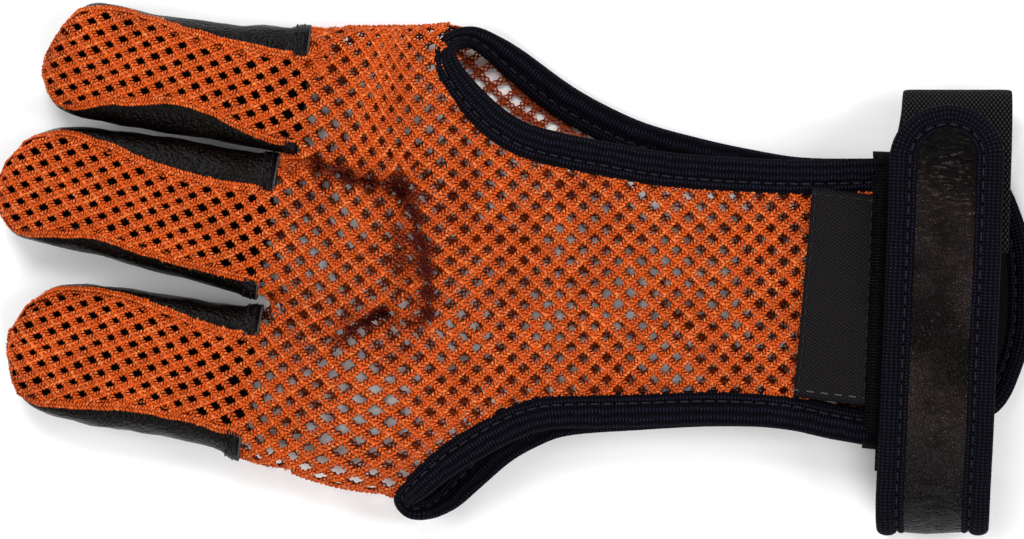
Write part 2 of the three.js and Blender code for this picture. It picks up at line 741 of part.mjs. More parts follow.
// Wrist layout: everything is set out from the wrist edge and the middle of the wrist
const wristSection = handAt(1);
const wristMiddle = widthAt(wristSection.centre);
const wristTop = wristSection.rise * HAND_HEIGHT;
const webbingX = wristEdge + WEBBING_WIDTH / 2 + GAP;
const strapX = webbingX + STRAP_SET_BACK;
const strapTop = wristMiddle + STRAP_LENGTH / 2 - STRAP_DROP;
const strapFoot = strapTop - STRAP_LENGTH;
const crownTop = wristTop + GAP + WEBBING_THICKNESS;

// Layers over the crown of the wrist, each a gap above the last, to the middles of their walls
const elasticLayer = GAP + WEBBING_THICKNESS / 2;
const hookLayer = elasticLayer + WEBBING_THICKNESS / 2 + GAP + HOOK_THICKNESS / 2;
const strapHigh = Math.max(
  hookLayer + HOOK_THICKNESS / 2 + GAP + STRAP_THICKNESS / 2,
  elasticLayer + WEBBING_THICKNESS / 2 + GAP + BINDING_THICKNESS / 2,
);
const strapLow = GAP + BINDING_THICKNESS / 2;

// A point at a distance off the crown, the arch that the wrist loop makes over the webbing
function overCrown(y, distance) {
  const height = (at) => {
    const share = Math.min(Math.abs(at - wristMiddle) / CROWN_HALF, 1);
    return HAND_SEAM + (crownTop - HAND_SEAM) * (1 - share ** TOP_POWER) ** (1 / TOP_POWER);
  };
  const step = 0.5;
  const slope = (height(y + step) - height(y - step)) / (2 * step);
  const length = Math.hypot(1, slope);
  return { y: y - (distance * slope) / length, z: height(y) + distance / length };
}

function wristWebbing() {
  const half = widthAt(wristSection.half);
  const outline = slanted(webbingX, wristMiddle, WEBBING_WIDTH, wristMiddle - half, wristMiddle + half);
  const layer = handBody(-GAP - WEBBING_THICKNESS).subtract(handBody(-GAP));
  return largest(layer.intersect(prism(outline, HAND_SEAM, CEILING)));
}

function labelPatch() {
  const middleX = wristEdge - LABEL_WIDTH / 2 - GAP;
  const middleY = wristMiddle + LABEL_SHIFT;
  const outline = slanted(
    middleX,
    middleY,
    LABEL_WIDTH,
    middleY - LABEL_LENGTH / 2,
    middleY + LABEL_LENGTH / 2,
  );
  const layer = handBody(-GAP - LABEL_THICKNESS).subtract(handBody(-GAP));
  return largest(layer.intersect(prism(outline, HAND_SEAM, CEILING)).subtract(bindingRoom));
}

// Curve through rows of the wrist loop, given as places across and heights
const loopCurve = (rows) =>
  new THREE.CatmullRomCurve3(rows.map(({ y, z }) => new THREE.Vector3(0, y, z)));

const elasticRest = WEBBING_THICKNESS / 2;
const loopSide = wristMiddle + LOOP_REACH;
const elasticEnd = strapTop - HOOK_LENGTH - ELASTIC_PAST_HOOK;
const elasticMouth = elasticEnd - MOUTH_LAP;
const seamY = strapFoot + STRAP_HEM;
const elasticShoulder = loopSide - 12;
const elasticCurve = loopCurve([
  ...[0, 0.4, 0.8, 1].map((share) =>
    overCrown(THREE.MathUtils.lerp(elasticEnd, elasticShoulder, share), elasticLayer),
  ),
  ...ELASTIC_TURN.map(({ inward, rise }) => ({ y: loopSide - inward, z: rise * crownTop })),
  ...[loopSide - 15, loopSide - 20, wristMiddle, seamY + 6, seamY + GAP].map((y) => ({
    y,
    z: elasticRest,
  })),
]);

const strapRest = BINDING_THICKNESS / 2;
const strapCurve = loopCurve([
  ...[strapTop, strapTop - 9, strapTop - 18, elasticMouth].map((y) => overCrown(y, strapHigh)),
  overCrown(elasticMouth - 14, strapLow + GAP),
  overCrown(wristMiddle - 16, strapLow),
  overCrown(wristMiddle - 28, strapLow),
  ...STRAP_TURN.map(({ inward, rise }) => ({ y: strapFoot + inward, z: rise * crownTop })),
  { y: strapFoot + 9, z: strapRest },
  { y: seamY, z: strapRest },
]);

const LOOP_STEPS = 26;
const HOOK_STEPS = 8;
const STRAP_RUNS = 15;
const STRAP_TURNS = 8;
const strapSide = (STRAP_WIDTH - STRAP_BINDING_WIDTH) / 2;

// Stations of the strap's binding: up one side, round the end and down the other
function strapStations() {
  const length = strapCurve.getLength();
  const spots = [];
  for (let k = 0; k < STRAP_RUNS; k++) {
    const down = length - ((length - strapSide) * k) / STRAP_RUNS;
    spots.push({ across: -strapSide, down });
  }
  for (let k = 0; k <= STRAP_TURNS; k++) {
    const angle = (Math.PI * k) / STRAP_TURNS;
    const down = strapSide * (1 - Math.sin(angle));
    spots.push({ across: -strapSide * Math.cos(angle), down });
  }
  for (let k = 1; k <= STRAP_RUNS; k++) {
    const down = strapSide + ((length - strapSide) * k) / STRAP_RUNS;
    spots.push({ across: strapSide, down });
  }
  return spots.map(({ across, down }) => {
    const share = (down + STRAP_BINDING_WIDTH / 2) / (length + STRAP_BINDING_WIDTH / 2);
    const point = strapCurve.getPointAt(Math.min(share, 1));
    const forward = strapCurve.getTangentAt(Math.min(share, 1));
    const x = strapX + across + STRAP_SLANT * (point.y - wristMiddle);
    return {
      place: new THREE.Vector3(x, point.y, point.z),
      up: new THREE.Vector3(0, forward.z, -forward.y),
      wide: STRAP_BINDING_WIDTH,
      tall: BINDING_THICKNESS,
    };
  });
}

function strapPieces() {
  const stations = strapStations();
  const low = strapFoot - GAP;
  const high = strapTop - strapSide;
  const outline = slanted(strapX, wristMiddle, 2 * strapSide, low, high);
  const end = Array.from({ length: STRAP_TURNS - 1 }, (_, k) => {
    const angle = (Math.PI * (k + 1)) / STRAP_TURNS;
    return [
      strapX + strapSide * Math.cos(angle) + STRAP_SLANT * (high - wristMiddle),
      high + strapSide * Math.sin(angle),
    ];
  });
  const plan = [...outline.slice(0, 3), ...end, outline[3]];
  const [from, to] = [strapX - STRAP_WIDTH, strapX + STRAP_WIDTH];
  const strip = band(strapCurve, STRAP_THICKNESS, from, to, LOOP_STEPS);
  const leather = strip.intersect(prism(plan, -1, CEILING)).subtract(sweep(stations, GAP));
  return { leather: largest(leather), binding: sweep(stations, 0) };
}

function elasticBand() {
  const width = WEBBING_WIDTH;
  const [from, to] = [strapX - width, strapX + width];
  const strip = band(elasticCurve, WEBBING_THICKNESS, from, to, LOOP_STEPS);
  const [low, high] = [seamY - width, loopSide + width];
  const outline = slanted(strapX + ELASTIC_SHIFT, wristMiddle, width, low, high);
  return largest(strip.intersect(prism(outline, -1, CEILING)));
}

function hookPad() {
  const curve = loopCurve(
    [0, 1 / 3, 2 / 3, 1].map((share) =>
      overCrown(strapTop - HOOK_SET_BACK - share * HOOK_LENGTH, hookLayer),
    ),
  );
  const [from, to] = [strapX - STRAP_WIDTH, strapX + STRAP_WIDTH];
  const strip = band(curve, HOOK_THICKNESS, from, to, HOOK_STEPS);
  const width = STRAP_WIDTH - 2 * STRAP_BINDING_WIDTH - 2 * GAP;
  const outline = slanted(strapX, wristMiddle, width, strapFoot, strapTop);
  return largest(strip.intersect(prism(outline, 0, CEILING)));
}

// The palm pad under the wrist, its free edge bowed out, with its own binding
const padLow = WEBBING_THICKNESS + GAP;
const padX = Math.max(thumbEdge[0].place.x, littleEdge[0].place.x) + 2 * GAP;
const PAD_STEPS = 24;

function padStations() {
  const reach = PAD_WIDTH - PAD_BINDING_WIDTH / 2;
  const half = (PAD_LENGTH - PAD_BINDING_WIDTH) / 2;
  const height = padLow + BINDING_THICKNESS / 2;
  const other = PAD_EDGE.map(({ out, over }) => ({ out, over: -over })).reverse();
  const points = [...PAD_EDGE, ...other].map(({ out, over }) => {
    const y = wristMiddle + PAD_SHIFT + over * half;
    return new THREE.Vector3(padX + out * reach, y, height);
  });
  return new THREE.CatmullRomCurve3(points).getPoints(PAD_STEPS).map((place) => ({
    place,
    up: UP,
    wide: PAD_BINDING_WIDTH,
    tall: BINDING_THICKNESS,
  }));
}

function padPieces() {
  const stations = padStations();
  const sheet = prism(stations.map(planOf), padLow, padLow + PAD_THICKNESS);
  const pad = sheet.subtract(sweep(stations, GAP)).subtract(bindingRoom);
  return { pad: largest(pad), binding: sweep(stations, 0) };
}

const MATERIALS = {
  net: { color: 0xe06a24, roughness: 0.8 },
  leather: { color: 0x241d1a, roughness: 0.55 },
  knit: { color: 0x12131f, roughness: 0.9 },
  webbing: { color: 0x151417, roughness: 0.85 },
  label: { color: 0x1b1a1d, roughness: 0.8 },
  strapLeather: { color: 0x3a2c2a, roughness: 0.45 },
  hook: { color: 0x101012, roughness: 0.9 },
};

function meshOf(name, shape, material) {
  const { vertProperties, triVerts } = shape.getMesh();
  const geometry = new THREE.BufferGeometry();
  geometry.setAttribute("position", new THREE.BufferAttribute(vertProperties, 3));
  geometry.setIndex(new THREE.BufferAttribute(triVerts, 1));
  geometry.computeVertexNormals();
  const mesh = new THREE.Mesh(
    geometry,
    new THREE.MeshStandardMaterial({ ...MATERIALS[material], metalness: 0 }),
  );
  mesh.name = name;
  return mesh;
}

const strap = strapPieces();
const cuff = padPieces();
const glove = new THREE.Group();
glove.add(
  meshOf("back_net", backNet(), "net"),
  meshOf("palm_net", palmNet(), "net"),
  ...FINGERS.map((finger) => meshOf(`${finger.name}_leather`, stall(finger), "leather")),
  meshOf("thumb_binding", thumbBinding, "knit"),
  meshOf("little_side_binding", littleBinding, "knit"),
  meshOf("label_patch", labelPatch(), "label"),
  meshOf("wrist_webbing", wristWebbing(), "webbing"),
  meshOf("palm_pad", cuff.pad, "webbing"),
  meshOf("pad_binding", cuff.binding, "knit"),
  meshOf("elastic_band", elasticBand(), "webbing"),
  meshOf("hook_pad", hookPad(), "hook"),
  meshOf("strap_leather", strap.leather, "strapLeather"),
  meshOf("strap_binding", strap.binding, "knit"),
);

// The origin lies under the middle of the whole glove, at the height that it rests on
const box = new THREE.Box3().setFromObject(glove);
const middle = box.getCenter(new THREE.Vector3());
glove.children.forEach((mesh) => mesh.position.set(-middle.x, -middle.y, -box.min.z));

export default glove;
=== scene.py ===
"""Finishes for a three-finger archery glove lying palm down: braided net, leather stalls, ribbed
bindings and a leather wrist strap. Lengths inside the tables and builders are millimetres."""

import math

import bpy
import numpy as np
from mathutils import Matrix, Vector, noise


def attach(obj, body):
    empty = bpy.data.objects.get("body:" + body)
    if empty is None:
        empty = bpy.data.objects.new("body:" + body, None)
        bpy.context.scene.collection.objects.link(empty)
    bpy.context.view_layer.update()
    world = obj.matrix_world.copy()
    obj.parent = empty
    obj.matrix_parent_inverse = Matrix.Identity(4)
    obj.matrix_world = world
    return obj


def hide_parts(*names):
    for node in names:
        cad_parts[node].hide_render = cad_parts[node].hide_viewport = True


bl_info = {
    "name": "Archery glove",
    "version": (1, 0, 0),
    "blender": (4, 5, 0),
    "location": "View3D > Sidebar > Glove",
    "description": "Builds the net, leather, bindings and wrist strap of an archery glove",
    "category": "Object",
}

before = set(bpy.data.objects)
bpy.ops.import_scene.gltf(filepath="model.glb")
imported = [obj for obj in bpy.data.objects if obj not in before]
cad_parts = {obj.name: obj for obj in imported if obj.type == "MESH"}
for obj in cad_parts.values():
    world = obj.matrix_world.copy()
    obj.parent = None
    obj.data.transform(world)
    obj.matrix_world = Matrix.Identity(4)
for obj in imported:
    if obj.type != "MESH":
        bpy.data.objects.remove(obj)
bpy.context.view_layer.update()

MM = 0.001

# Where the tables' origin, the middle of the knuckle edge, lies in the frame
ORIGIN = np.array([-53.663, -0.585, 0.036])

HAND_LENGTH = 140.0
HAND_WIDTH = 108.0
HAND_HEIGHT = 18.5
HAND_SEAM = 7.0
FINGER_HEIGHT = 16.0
FINGER_SEAM = 6.7
NET_WALL = 1.3
GAP = 0.3
BINDING_WIDTH = 8.0
BINDING_THICKNESS = 3.2
TOP_POWER = 2.6
FLOOR_POWER = 3.6
FLOOR_SINK = 1.2

LABEL_THICKNESS = 1.0
WEBBING_WIDTH = 25.0
WEBBING_THICKNESS = 1.5
PAD_LENGTH = 62.0
PAD_WIDTH = 34.0
PAD_THICKNESS = 2.7
PAD_BINDING_WIDTH = 5.8
STRAP_WIDTH = 25.0
STRAP_LENGTH = 97.5
STRAP_THICKNESS = 1.6
STRAP_BINDING_WIDTH = 6.2
STRAP_SLANT = 0.038
HOOK_LENGTH = 22.0
HOOK_THICKNESS = 0.8
LOOP_REACH = 48.6
STRAP_SET_BACK = 2.6
STRAP_DROP = 5.2
ELASTIC_SHIFT = 2.4
STRAP_HEM = 14.0
CROWN_HALF = 52.0

# Hand sections along the glove: centre, half width, rise of the back
HAND_ROWS = [
    (0, 0.028, 0.45, 0.6),
    (0.046, 0.038, 0.482, 0.84),
    (0.107, 0.029, 0.494, 0.97),
    (0.172, 0.022, 0.5, 1),
    (0.23, 0.01, 0.515, 1),
    (0.288, 0.013, 0.514, 0.97),
    (0.361, 0.038, 0.455, 0.93),
    (0.435, 0.037, 0.396, 0.9),
    (0.526, 0.012, 0.349, 0.87),
    (0.624, -0.012, 0.319, 0.85),
    (0.723, -0.028, 0.301, 0.84),
    (0.838, -0.044, 0.294, 0.84),
    (1, -0.064, 0.301, 0.84),
    (1.25, -0.07, 0.301, 0.84),
]

# Finger sections along each finger: wide, tall, sway, net, drift
INDEX_ROWS = [
    (0, 1.1, 0.84, 0, 0.7, -0.15),
    (0.134, 1.09, 0.92, 0.01, 0.7, -0.14),
    (0.27, 1.05, 1, 0.02, 0.69, -0.1),
    (0.4, 1, 1, 0.035, 0.65, 0.05),
    (0.54, 0.98, 0.98, 0.06, 0.63, 0.19),
    (0.67, 0.98, 0.96, 0.1, 0.74, 0.2),
    (0.8, 1, 0.93, 0.18, 0.82, 0.12),
    (0.88, 0.94, 0.9, 0.18, 0.9, 0.04),
    (0.94, 0.76, 0.85, 0.1, 0.98, 0),
    (0.98, 0.5, 0.74, 0.03, 1.1, 0),
    (1, 0.24, 0.62, 0, 1.5, 0),
]
MIDDLE_ROWS = [
    (-0.08, 1.08, 0.8, 0, 0.65, -0.15),
    (0.136, 1.06, 0.92, 0.03, 0.65, -0.15),
    (0.28, 1.03, 1, 0.06, 0.64, -0.15),
    (0.41, 1.01, 1, 0.09, 0.645, -0.15),
    (0.54, 0.98, 0.98, 0.12, 0.66, -0.09),
    (0.67, 0.93, 0.96, 0.14, 0.73, 0.01),
    (0.8, 0.9, 0.93, 0.13, 0.86, 0.04),
    (0.88, 0.82, 0.9, 0.09, 0.93, 0.02),
    (0.94, 0.68, 0.84, 0.03, 1, 0),
    (0.98, 0.46, 0.74, 0, 1.1, 0),
    (1, 0.22, 0.62, 0, 1.5, 0),
]
RING_ROWS = [
    (-0.13, 1.14, 0.8, -0.06, 0.67, -0.03),
    (0.14, 1.08, 0.92, 0, 0.67, -0.03),
    (0.25, 1.02, 1, 0.03, 0.67, -0.03),
    (0.38, 0.99, 1, 0.055, 0.7, 0.01),
    (0.52, 0.99, 0.98, 0.05, 0.76, 0.08),
    (0.67, 0.99, 0.96, 0.04, 0.82, 0.1),
    (0.8, 0.95, 0.93, 0.04, 0.9, 0.06),
    (0.88, 0.86, 0.9, 0.03, 0.95, 0.02),
    (0.94, 0.68, 0.84, 0, 1, 0),
    (0.98, 0.46, 0.74, 0, 1.1, 0),
    (1, 0.22, 0.62, 0, 1.5, 0),
]

# Edges of the side openings: along, across, lift from palm to back, share of binding width
THUMB_EDGE = [
    (0.979, 0.203, 1, 1),
    (0.854, 0.199, 1, 1),
    (0.723, 0.206, 1, 1),
    (0.621, 0.218, 1, 1),
    (0.526, 0.24, 1, 1),
    (0.46, 0.257, 1, 1),
    (0.398, 0.28, 1, 0.98),
    (0.357, 0.312, 1, 0.95),
    (0.325, 0.35, 1, 0.9),
    (0.297, 0.393, 1, 0.82),
    (0.278, 0.433, 1, 0.72),
    (0.273, 0.465, 0.92, 0.65),
    (0.288, 0.49, 0.66, 0.62),
    (0.317, 0.498, 0.34, 0.64),
    (0.358, 0.47, 0.08, 0.8),
    (0.388, 0.441, 0, 0.92),
    (0.46, 0.369, 0, 1),
    (0.521, 0.323, 0, 1),
    (0.591, 0.282, 0, 1),
    (0.69, 0.246, 0, 1),
    (0.764, 0.225, 0, 1),
    (0.854, 0.206, 0, 1),
    (0.979, 0.203, 0, 1),
]
LITTLE_EDGE = [
    (0.962, -0.335, 1, 1),
    (0.91, -0.321, 1, 1),
    (0.838, -0.301, 1, 1),
    (0.723, -0.291, 1, 1),
    (0.591, -0.295, 1, 1),
    (0.526, -0.297, 1, 1),
    (0.44, -0.301, 1, 1),
    (0.391, -0.318, 1, 1),
    (0.335, -0.355, 1, 0.98),
    (0.276, -0.404, 1, 0.9),
    (0.23, -0.455, 0.98, 0.8),
    (0.207, -0.485, 0.8, 0.68),
    (0.217, -0.505, 0.5, 0.62),
    (0.245, -0.505, 0.22, 0.66),
    (0.278, -0.482, 0.04, 0.8),
    (0.312, -0.44, 0, 0.9),
    (0.361, -0.38, 0, 1),
    (0.411, -0.342, 0, 1),
    (0.46, -0.318, 0, 1),
    (0.591, -0.303, 0, 1),
    (0.723, -0.295, 0, 1),
    (0.838, -0.301, 0, 1),
    (0.91, -0.321, 0, 1),
    (0.962, -0.335, 0, 1),
]

# Folds of the back: from along, across to along, across; reach and depth as shares
FOLDS = [
    (0.05, 0.255, 0.215, 0.17, 0.04, 0.13),
    (0.005, -0.075, 0.19, -0.11, 0.04, 0.14),
    (0.205, 0.2, 0.225, -0.15, 0.045, 0.13),
    (0.13, -0.13, 0.2, -0.05, 0.035, -0.09),
    (0.255, 0.23, 0.27, -0.17, 0.05, -0.06),
    (0.36, -0.1, 0.56, 0.08, 0.07, 0.05),
    (0.02, 0.24, 0.19, 0.168, 0.012, 0.12),
    (0.19, 0.19, 0.225, -0.1, 0.012, 0.11),
    (0.11, -0.135, 0.175, -0.085, 0.013, 0.14),
]

# Palm pad's edge from its straight end to its middle, as shares of reach and half length
PAD_EDGE = [(0, 1), (0.45, 1), (0.571, 1), (0.796, 0.893), (0.93, 0.609), (1, 0.3)]

# Turns of the elastic and of the strap: inward from the furthest reach, share of the crown's height
ELASTIC_TURN = [(3.4, 0.72), (0.75, 0.5), (2.6, 0.24), (8, 0.08)]
STRAP_TURN = [(13, 0.86), (4.6, 0.7), (1.6, 0.43), (4.4, 0.18)]


def smooth_table(rows):
    """Reader of a table whose rows are placed by their first column."""
    data = np.array(rows, float)
    spots, values = data[:, 0], data[:, 1:]
    last = len(spots) - 2

    def read(place):
        place = min(max(place, spots[0]), spots[-1])
        i = min(max(int(np.searchsorted(spots, place, side="right")) - 1, 0), last)
        start, end = spots[i], spots[i + 1]
        step = end - start
        before = 0.5 * step / (start - spots[i - 1]) if i else -0.5
        after = 0.5 * step / (spots[i + 2] - end) if i < last else -0.5
        lead = values[i - 1] if i else values[i + 1]
        trail = values[i + 2] if i < last else values[i]
        p = (place - start) / step
        pp, ppp = p * p, p * p * p
        return (
            (-before * ppp + 2 * before * pp - before * p) * lead
            + ((1 + before) * ppp + (-1.5 - 2 * before) * pp + (before - 0.5) * p + 1) * values[i]
            + ((-1 - after) * ppp + (1.5 + after) * pp + 0.5 * p) * values[i + 1]
            + (after * ppp - after * pp) * trail
        )

    return read


def spline(points, shares):
    """Points of a centripetal curve at shares of its row of control points."""
    row = np.asarray(points, float)
    ends = np.vstack([2 * row[0] - row[1], row, 2 * row[-1] - row[-2]])
    place = np.asarray(shares, float) * (len(row) - 1)
    i = np.clip(place.astype(int), 0, len(row) - 2)
    w = (place - i)[:, None]
    a, b, c, d = ends[i], ends[i + 1], ends[i + 2], ends[i + 3]
    gap = lambda p, q: np.maximum(np.sqrt(np.linalg.norm(q - p, axis=1)), 1e-4)[:, None]
    before, here, after = gap(a, b), gap(b, c), gap(c, d)
    lead = ((b - a) / before - (c - a) / (before + here) + (c - b) / here) * here
    trail = ((c - b) / here - (d - b) / (here + after) + (d - c) / after) * here
    return (
        b
        + lead * w
        + (3 * (c - b) - 2 * lead - trail) * w**2
        + (2 * (b - c) + lead + trail) * w**3
    )


def even_curve(points, count=600):
    """The same curve as a fine polyline with its running length."""
    line = spline(points, np.linspace(0, 1, count))
    steps = np.linalg.norm(np.diff(line, axis=0), axis=1)
    return line, np.concatenate([[0], np.cumsum(steps)])


def along_curve(line, run, where):
    """Points at running lengths of a polyline."""
    return np.stack([np.interp(where, run, line[:, k]) for k in range(line.shape[1])], axis=1)


hand_at = smooth_table(HAND_ROWS)


def fold_drop(x, y):
    """Drop of the back surface at a plan point, summed over the folds."""
    total = 0.0
    for along, across, to_along, to_across, reach, depth in FOLDS:
        ax, ay = along * HAND_LENGTH, across * HAND_WIDTH
        dx, dy = to_along * HAND_LENGTH - ax, to_across * HAND_WIDTH - ay
        t = min(max(((x - ax) * dx + (y - ay) * dy) / (dx * dx + dy * dy), 0), 1)
        share = math.hypot(x - ax - t * dx, y - ay - t * dy) / (reach * HAND_WIDTH)
        total += depth * HAND_HEIGHT * math.exp(-share * share)
    return total


ANGLES = np.linspace(math.pi / 2, -math.pi / 2, 61)
TURN_SIN, TURN_COS = np.sin(ANGLES), np.clip(np.cos(ANGLES), 0, 1)
TURN_POWER = 2 / np.where(TURN_SIN > 0, TOP_POWER, FLOOR_POWER)
ACROSS_SHARE = TURN_COS**TURN_POWER
RISE_SHARE = np.sign(TURN_SIN) * np.abs(TURN_SIN) ** TURN_POWER


def ring_side(half, seam, top, inset):
    """Half of a flattened ring from the middle of its top to the middle of its floor."""
    across = (half - inset) * ACROSS_SHARE
    depth = np.where(TURN_SIN > 0, top - inset - seam, seam + FLOOR_SINK - inset)
    up = np.maximum(seam + depth * RISE_SHARE, inset)
    return across, up


def on_ring(half, seam, top, inset, arc, below=False):
    """Place on a flattened ring at a way along its skin from the middle of its top or floor."""
    across, up = ring_side(half, seam, top, inset)
    rise = TURN_SIN
    if below:
        across, up, rise = across[::-1], up[::-1], rise[::-1]
    run = np.concatenate([[0], np.cumsum(np.hypot(np.diff(across), np.diff(up)))])
    way = min(abs(arc), run[-1])
    sign = 1 if arc >= 0 else -1
    return (
        sign * np.interp(way, run, across),
        float(np.interp(way, run, up)),
        float(np.interp(way, run, rise)),
    )


class Finger:
    """One finger: its sizes, its place on the hand and its sections."""

    def __init__(self, name, length, width, along, across, lean, hem, rows):
        self.name, self.length, self.width, self.hem = name, length, width, hem
        self.half = width / 2
        self.start = rows[0][0]
        self.row = smooth_table(rows)
        angle = math.radians(lean)
        self.forward = np.array([-math.cos(angle), math.sin(angle)])
        self.side = np.array([math.sin(angle), math.cos(angle)])
        self.root = np.array([along * HAND_LENGTH, across * HAND_WIDTH])

    def place(self, forward, sideways):
        return self.root + self.forward * forward + self.side * sideways

    def local(self, plan):
        offset = np.asarray(plan) - self.root
        return float(offset @ self.forward), float(offset @ self.side)

    def height(self, plan):
        """Height of the top surface over a plan point, or zero outside."""
        forward, sideways = self.local(plan)
        share = forward / self.length
        if not self.start <= share <= 1:
            return 0.0
        wide, tall, sway = self.row(share)[:3]
        off = abs(sideways - self.half * sway) / (self.half * wide)
        if off >= 1:
            return 0.0
        fall = (1 - off**TOP_POWER) ** (1 / TOP_POWER)
        top = tall * FINGER_HEIGHT - NET_WALL / 2
        return FINGER_SEAM + (top - FINGER_SEAM) * fall - fall * fold_drop(*plan)


FINGERS = [
    Finger("index", 69, 27.6, 0.107, 0.372, 5.5, 0.135, INDEX_ROWS),
    Finger("middle", 72, 31.5, 0.049, 0.076, 9.2, 0.136, MIDDLE_ROWS),
    Finger("ring", 65, 33, 0.016, -0.252, 9.2, 0.14, RING_ROWS),
]


def hand_height(x, y, on_back=True, inset=NET_WALL / 2):
    """Height of the hand's back or palm over a plan point."""
    centre, half, rise = hand_at(x / HAND_LENGTH)
    share = min(abs(y - centre * HAND_WIDTH) / (half * HAND_WIDTH), 1)
    power = TOP_POWER if on_back else FLOOR_POWER
    fall = (1 - share**power) ** (1 / power)
    if on_back:
        top = rise * HAND_HEIGHT - inset
        return HAND_SEAM + (top - HAND_SEAM) * fall - fall * fold_drop(x, y)
    return max(HAND_SEAM - (HAND_SEAM + FLOOR_SINK - inset) * fall, inset)


# Meshes


def to_frame(points):
    return (np.asarray(points, float) + ORIGIN) * MM


def new_object(name, verts, edges, faces):
    mesh = bpy.data.meshes.new(name)
    mesh.from_pydata([tuple(v) for v in verts], edges, faces)
    mesh.update()
    piece = bpy.data.objects.new(name, mesh)
    bpy.context.scene.collection.objects.link(piece)
    return piece


def set_float(mesh, name, values):
    layer = mesh.attributes.new(name, "FLOAT", "POINT")
    layer.data.foreach_set("value", np.asarray(values, np.float32))


def set_vector(mesh, name, values):
    layer = mesh.attributes.new(name, "FLOAT_VECTOR", "POINT")
    layer.data.foreach_set("vector", np.asarray(values, np.float32).ravel())


def smooth(piece):
    piece.data.shade_smooth()
    return piece


def skin_mesh(name, rings, closed_ring=True, caps=True, uv_scale=MM):
    """A skin through rings of points in millimetres, with a UV that runs along and round it in metres."""
    rings = np.asarray(rings, float)
    rows, count = rings.shape[:2]
    verts = list(to_frame(rings.reshape(-1, 3)))
    faces, uvs = [], []
    run = np.concatenate([[0], np.cumsum(np.linalg.norm(np.diff(rings.mean(1), axis=0), axis=1))])
    loop = np.vstack([rings[rows // 2], rings[rows // 2][:1]])
    round_it = np.concatenate([[0], np.cumsum(np.linalg.norm(np.diff(loop, axis=0), axis=1))])
    last = count if closed_ring else count - 1
    for r in range(rows - 1):
        for k in range(last):
            n = (k + 1) % count
            faces.append((r * count + k, r * count + n, (r + 1) * count + n, (r + 1) * count + k))
            u0, u1 = run[r] * uv_scale, run[r + 1] * uv_scale
            v0, v1 = round_it[k] * uv_scale, round_it[k + 1] * uv_scale
            uvs += [(u0, v0), (u0, v1), (u1, v1), (u1, v0)]
    if caps and closed_ring:
        for r, turn in ((0, 1), (rows - 1, -1)):
            verts.append(tuple(to_frame(rings[r].mean(0))))
            hub = len(verts) - 1
            for k in range(count):
                n = (k + 1) % count
                trio = (hub, r * count + n, r * count + k)
                faces.append(trio if turn > 0 else trio[::-1])
                u = run[r] * uv_scale
                uvs += [(u, round_it[k] * uv_scale)] * 3
    piece = new_object(name, verts, [], faces)
    layer = piece.data.uv_layers.new(name="run")
    layer.data.foreach_set("uv", np.asarray(uvs, np.float32).ravel())
    outward(piece)
    return smooth(piece)


def outward(piece):
    """Turns a closed mesh's faces outwards."""
    mesh = piece.data
    mesh.calc_loop_triangles()
    co = np.array([v.co for v in mesh.vertices])
    tri = np.array([t.vertices for t in mesh.loop_triangles])
    a, b, c = co[tri[:, 0]], co[tri[:, 1]], co[tri[:, 2]]
    if (a * np.cross(b, c)).sum() < 0:
        mesh.flip_normals()


def profile_points(rows, steps):
    """A closed section drawn smoothly through its corners."""
    row = np.array(rows, float)
    closed = np.vstack([row, row[:1]])
    ends = np.vstack([row[-1:], closed, row[1:2]])
    shares = (np.arange(len(row) * steps) / steps + 1) / (len(ends) - 1)
    return spline(np.c_[ends, np.zeros(len(ends))], shares)[:, :2]


# Fold of knit in two rolls with a sewn groove between them
ROLLS = [
    (-0.5, -0.08),
    (-0.45, 0.22),
    (-0.34, 0.34),
    (-0.24, 0.28),
    (-0.19, 0.13),
    (-0.14, 0.32),
    (0.02, 0.48),
    (0.22, 0.5),
    (0.42, 0.34),
    (0.5, -0.02),
    (0.38, -0.44),
    (-0.38, -0.44),
]
GROOVE = (-0.19, 0.15)
FLAT_BAND = [
    (-0.5, 0),
    (-0.485, 0.4),
    (-0.44, 0.5),
    (-0.2, 0.5),
    (0.2, 0.5),
    (0.44, 0.5),
    (0.485, 0.4),
    (0.5, 0),
    (0.485, -0.4),
    (0.44, -0.5),
    (0.2, -0.5),
    (-0.2, -0.5),
    (-0.44, -0.5),
    (-0.485, -0.4),
]


def sweep_rings(places, ups, widths, heights, profile):
    """Rings of a section swept along places, each with its up direction and sizes."""
    places, ups = np.asarray(places, float), np.asarray(ups, float)
    forward = np.gradient(places, axis=0)
    forward /= np.linalg.norm(forward, axis=1)[:, None]
    across = np.cross(forward, ups)
    across /= np.linalg.norm(across, axis=1)[:, None]
    up = np.cross(across, forward)
    widths = np.broadcast_to(widths, len(places))
    heights = np.broadcast_to(heights, len(places))
    profile = np.asarray(profile)
    profile = profile if profile.ndim == 3 else profile[None]
    return (
        places[:, None]
        + across[:, None] * (profile[:, :, :1] * widths[:, None, None])
        + up[:, None] * (profile[:, :, 1:] * heights[:, None, None])
    )


# How far past their ends the bindings run on under the webbing, as a share of the hand's length
BINDING_RUN_ON = 0.011
# How far short of a binding's middle the back net stops
BINDING_TUCK = 1.6


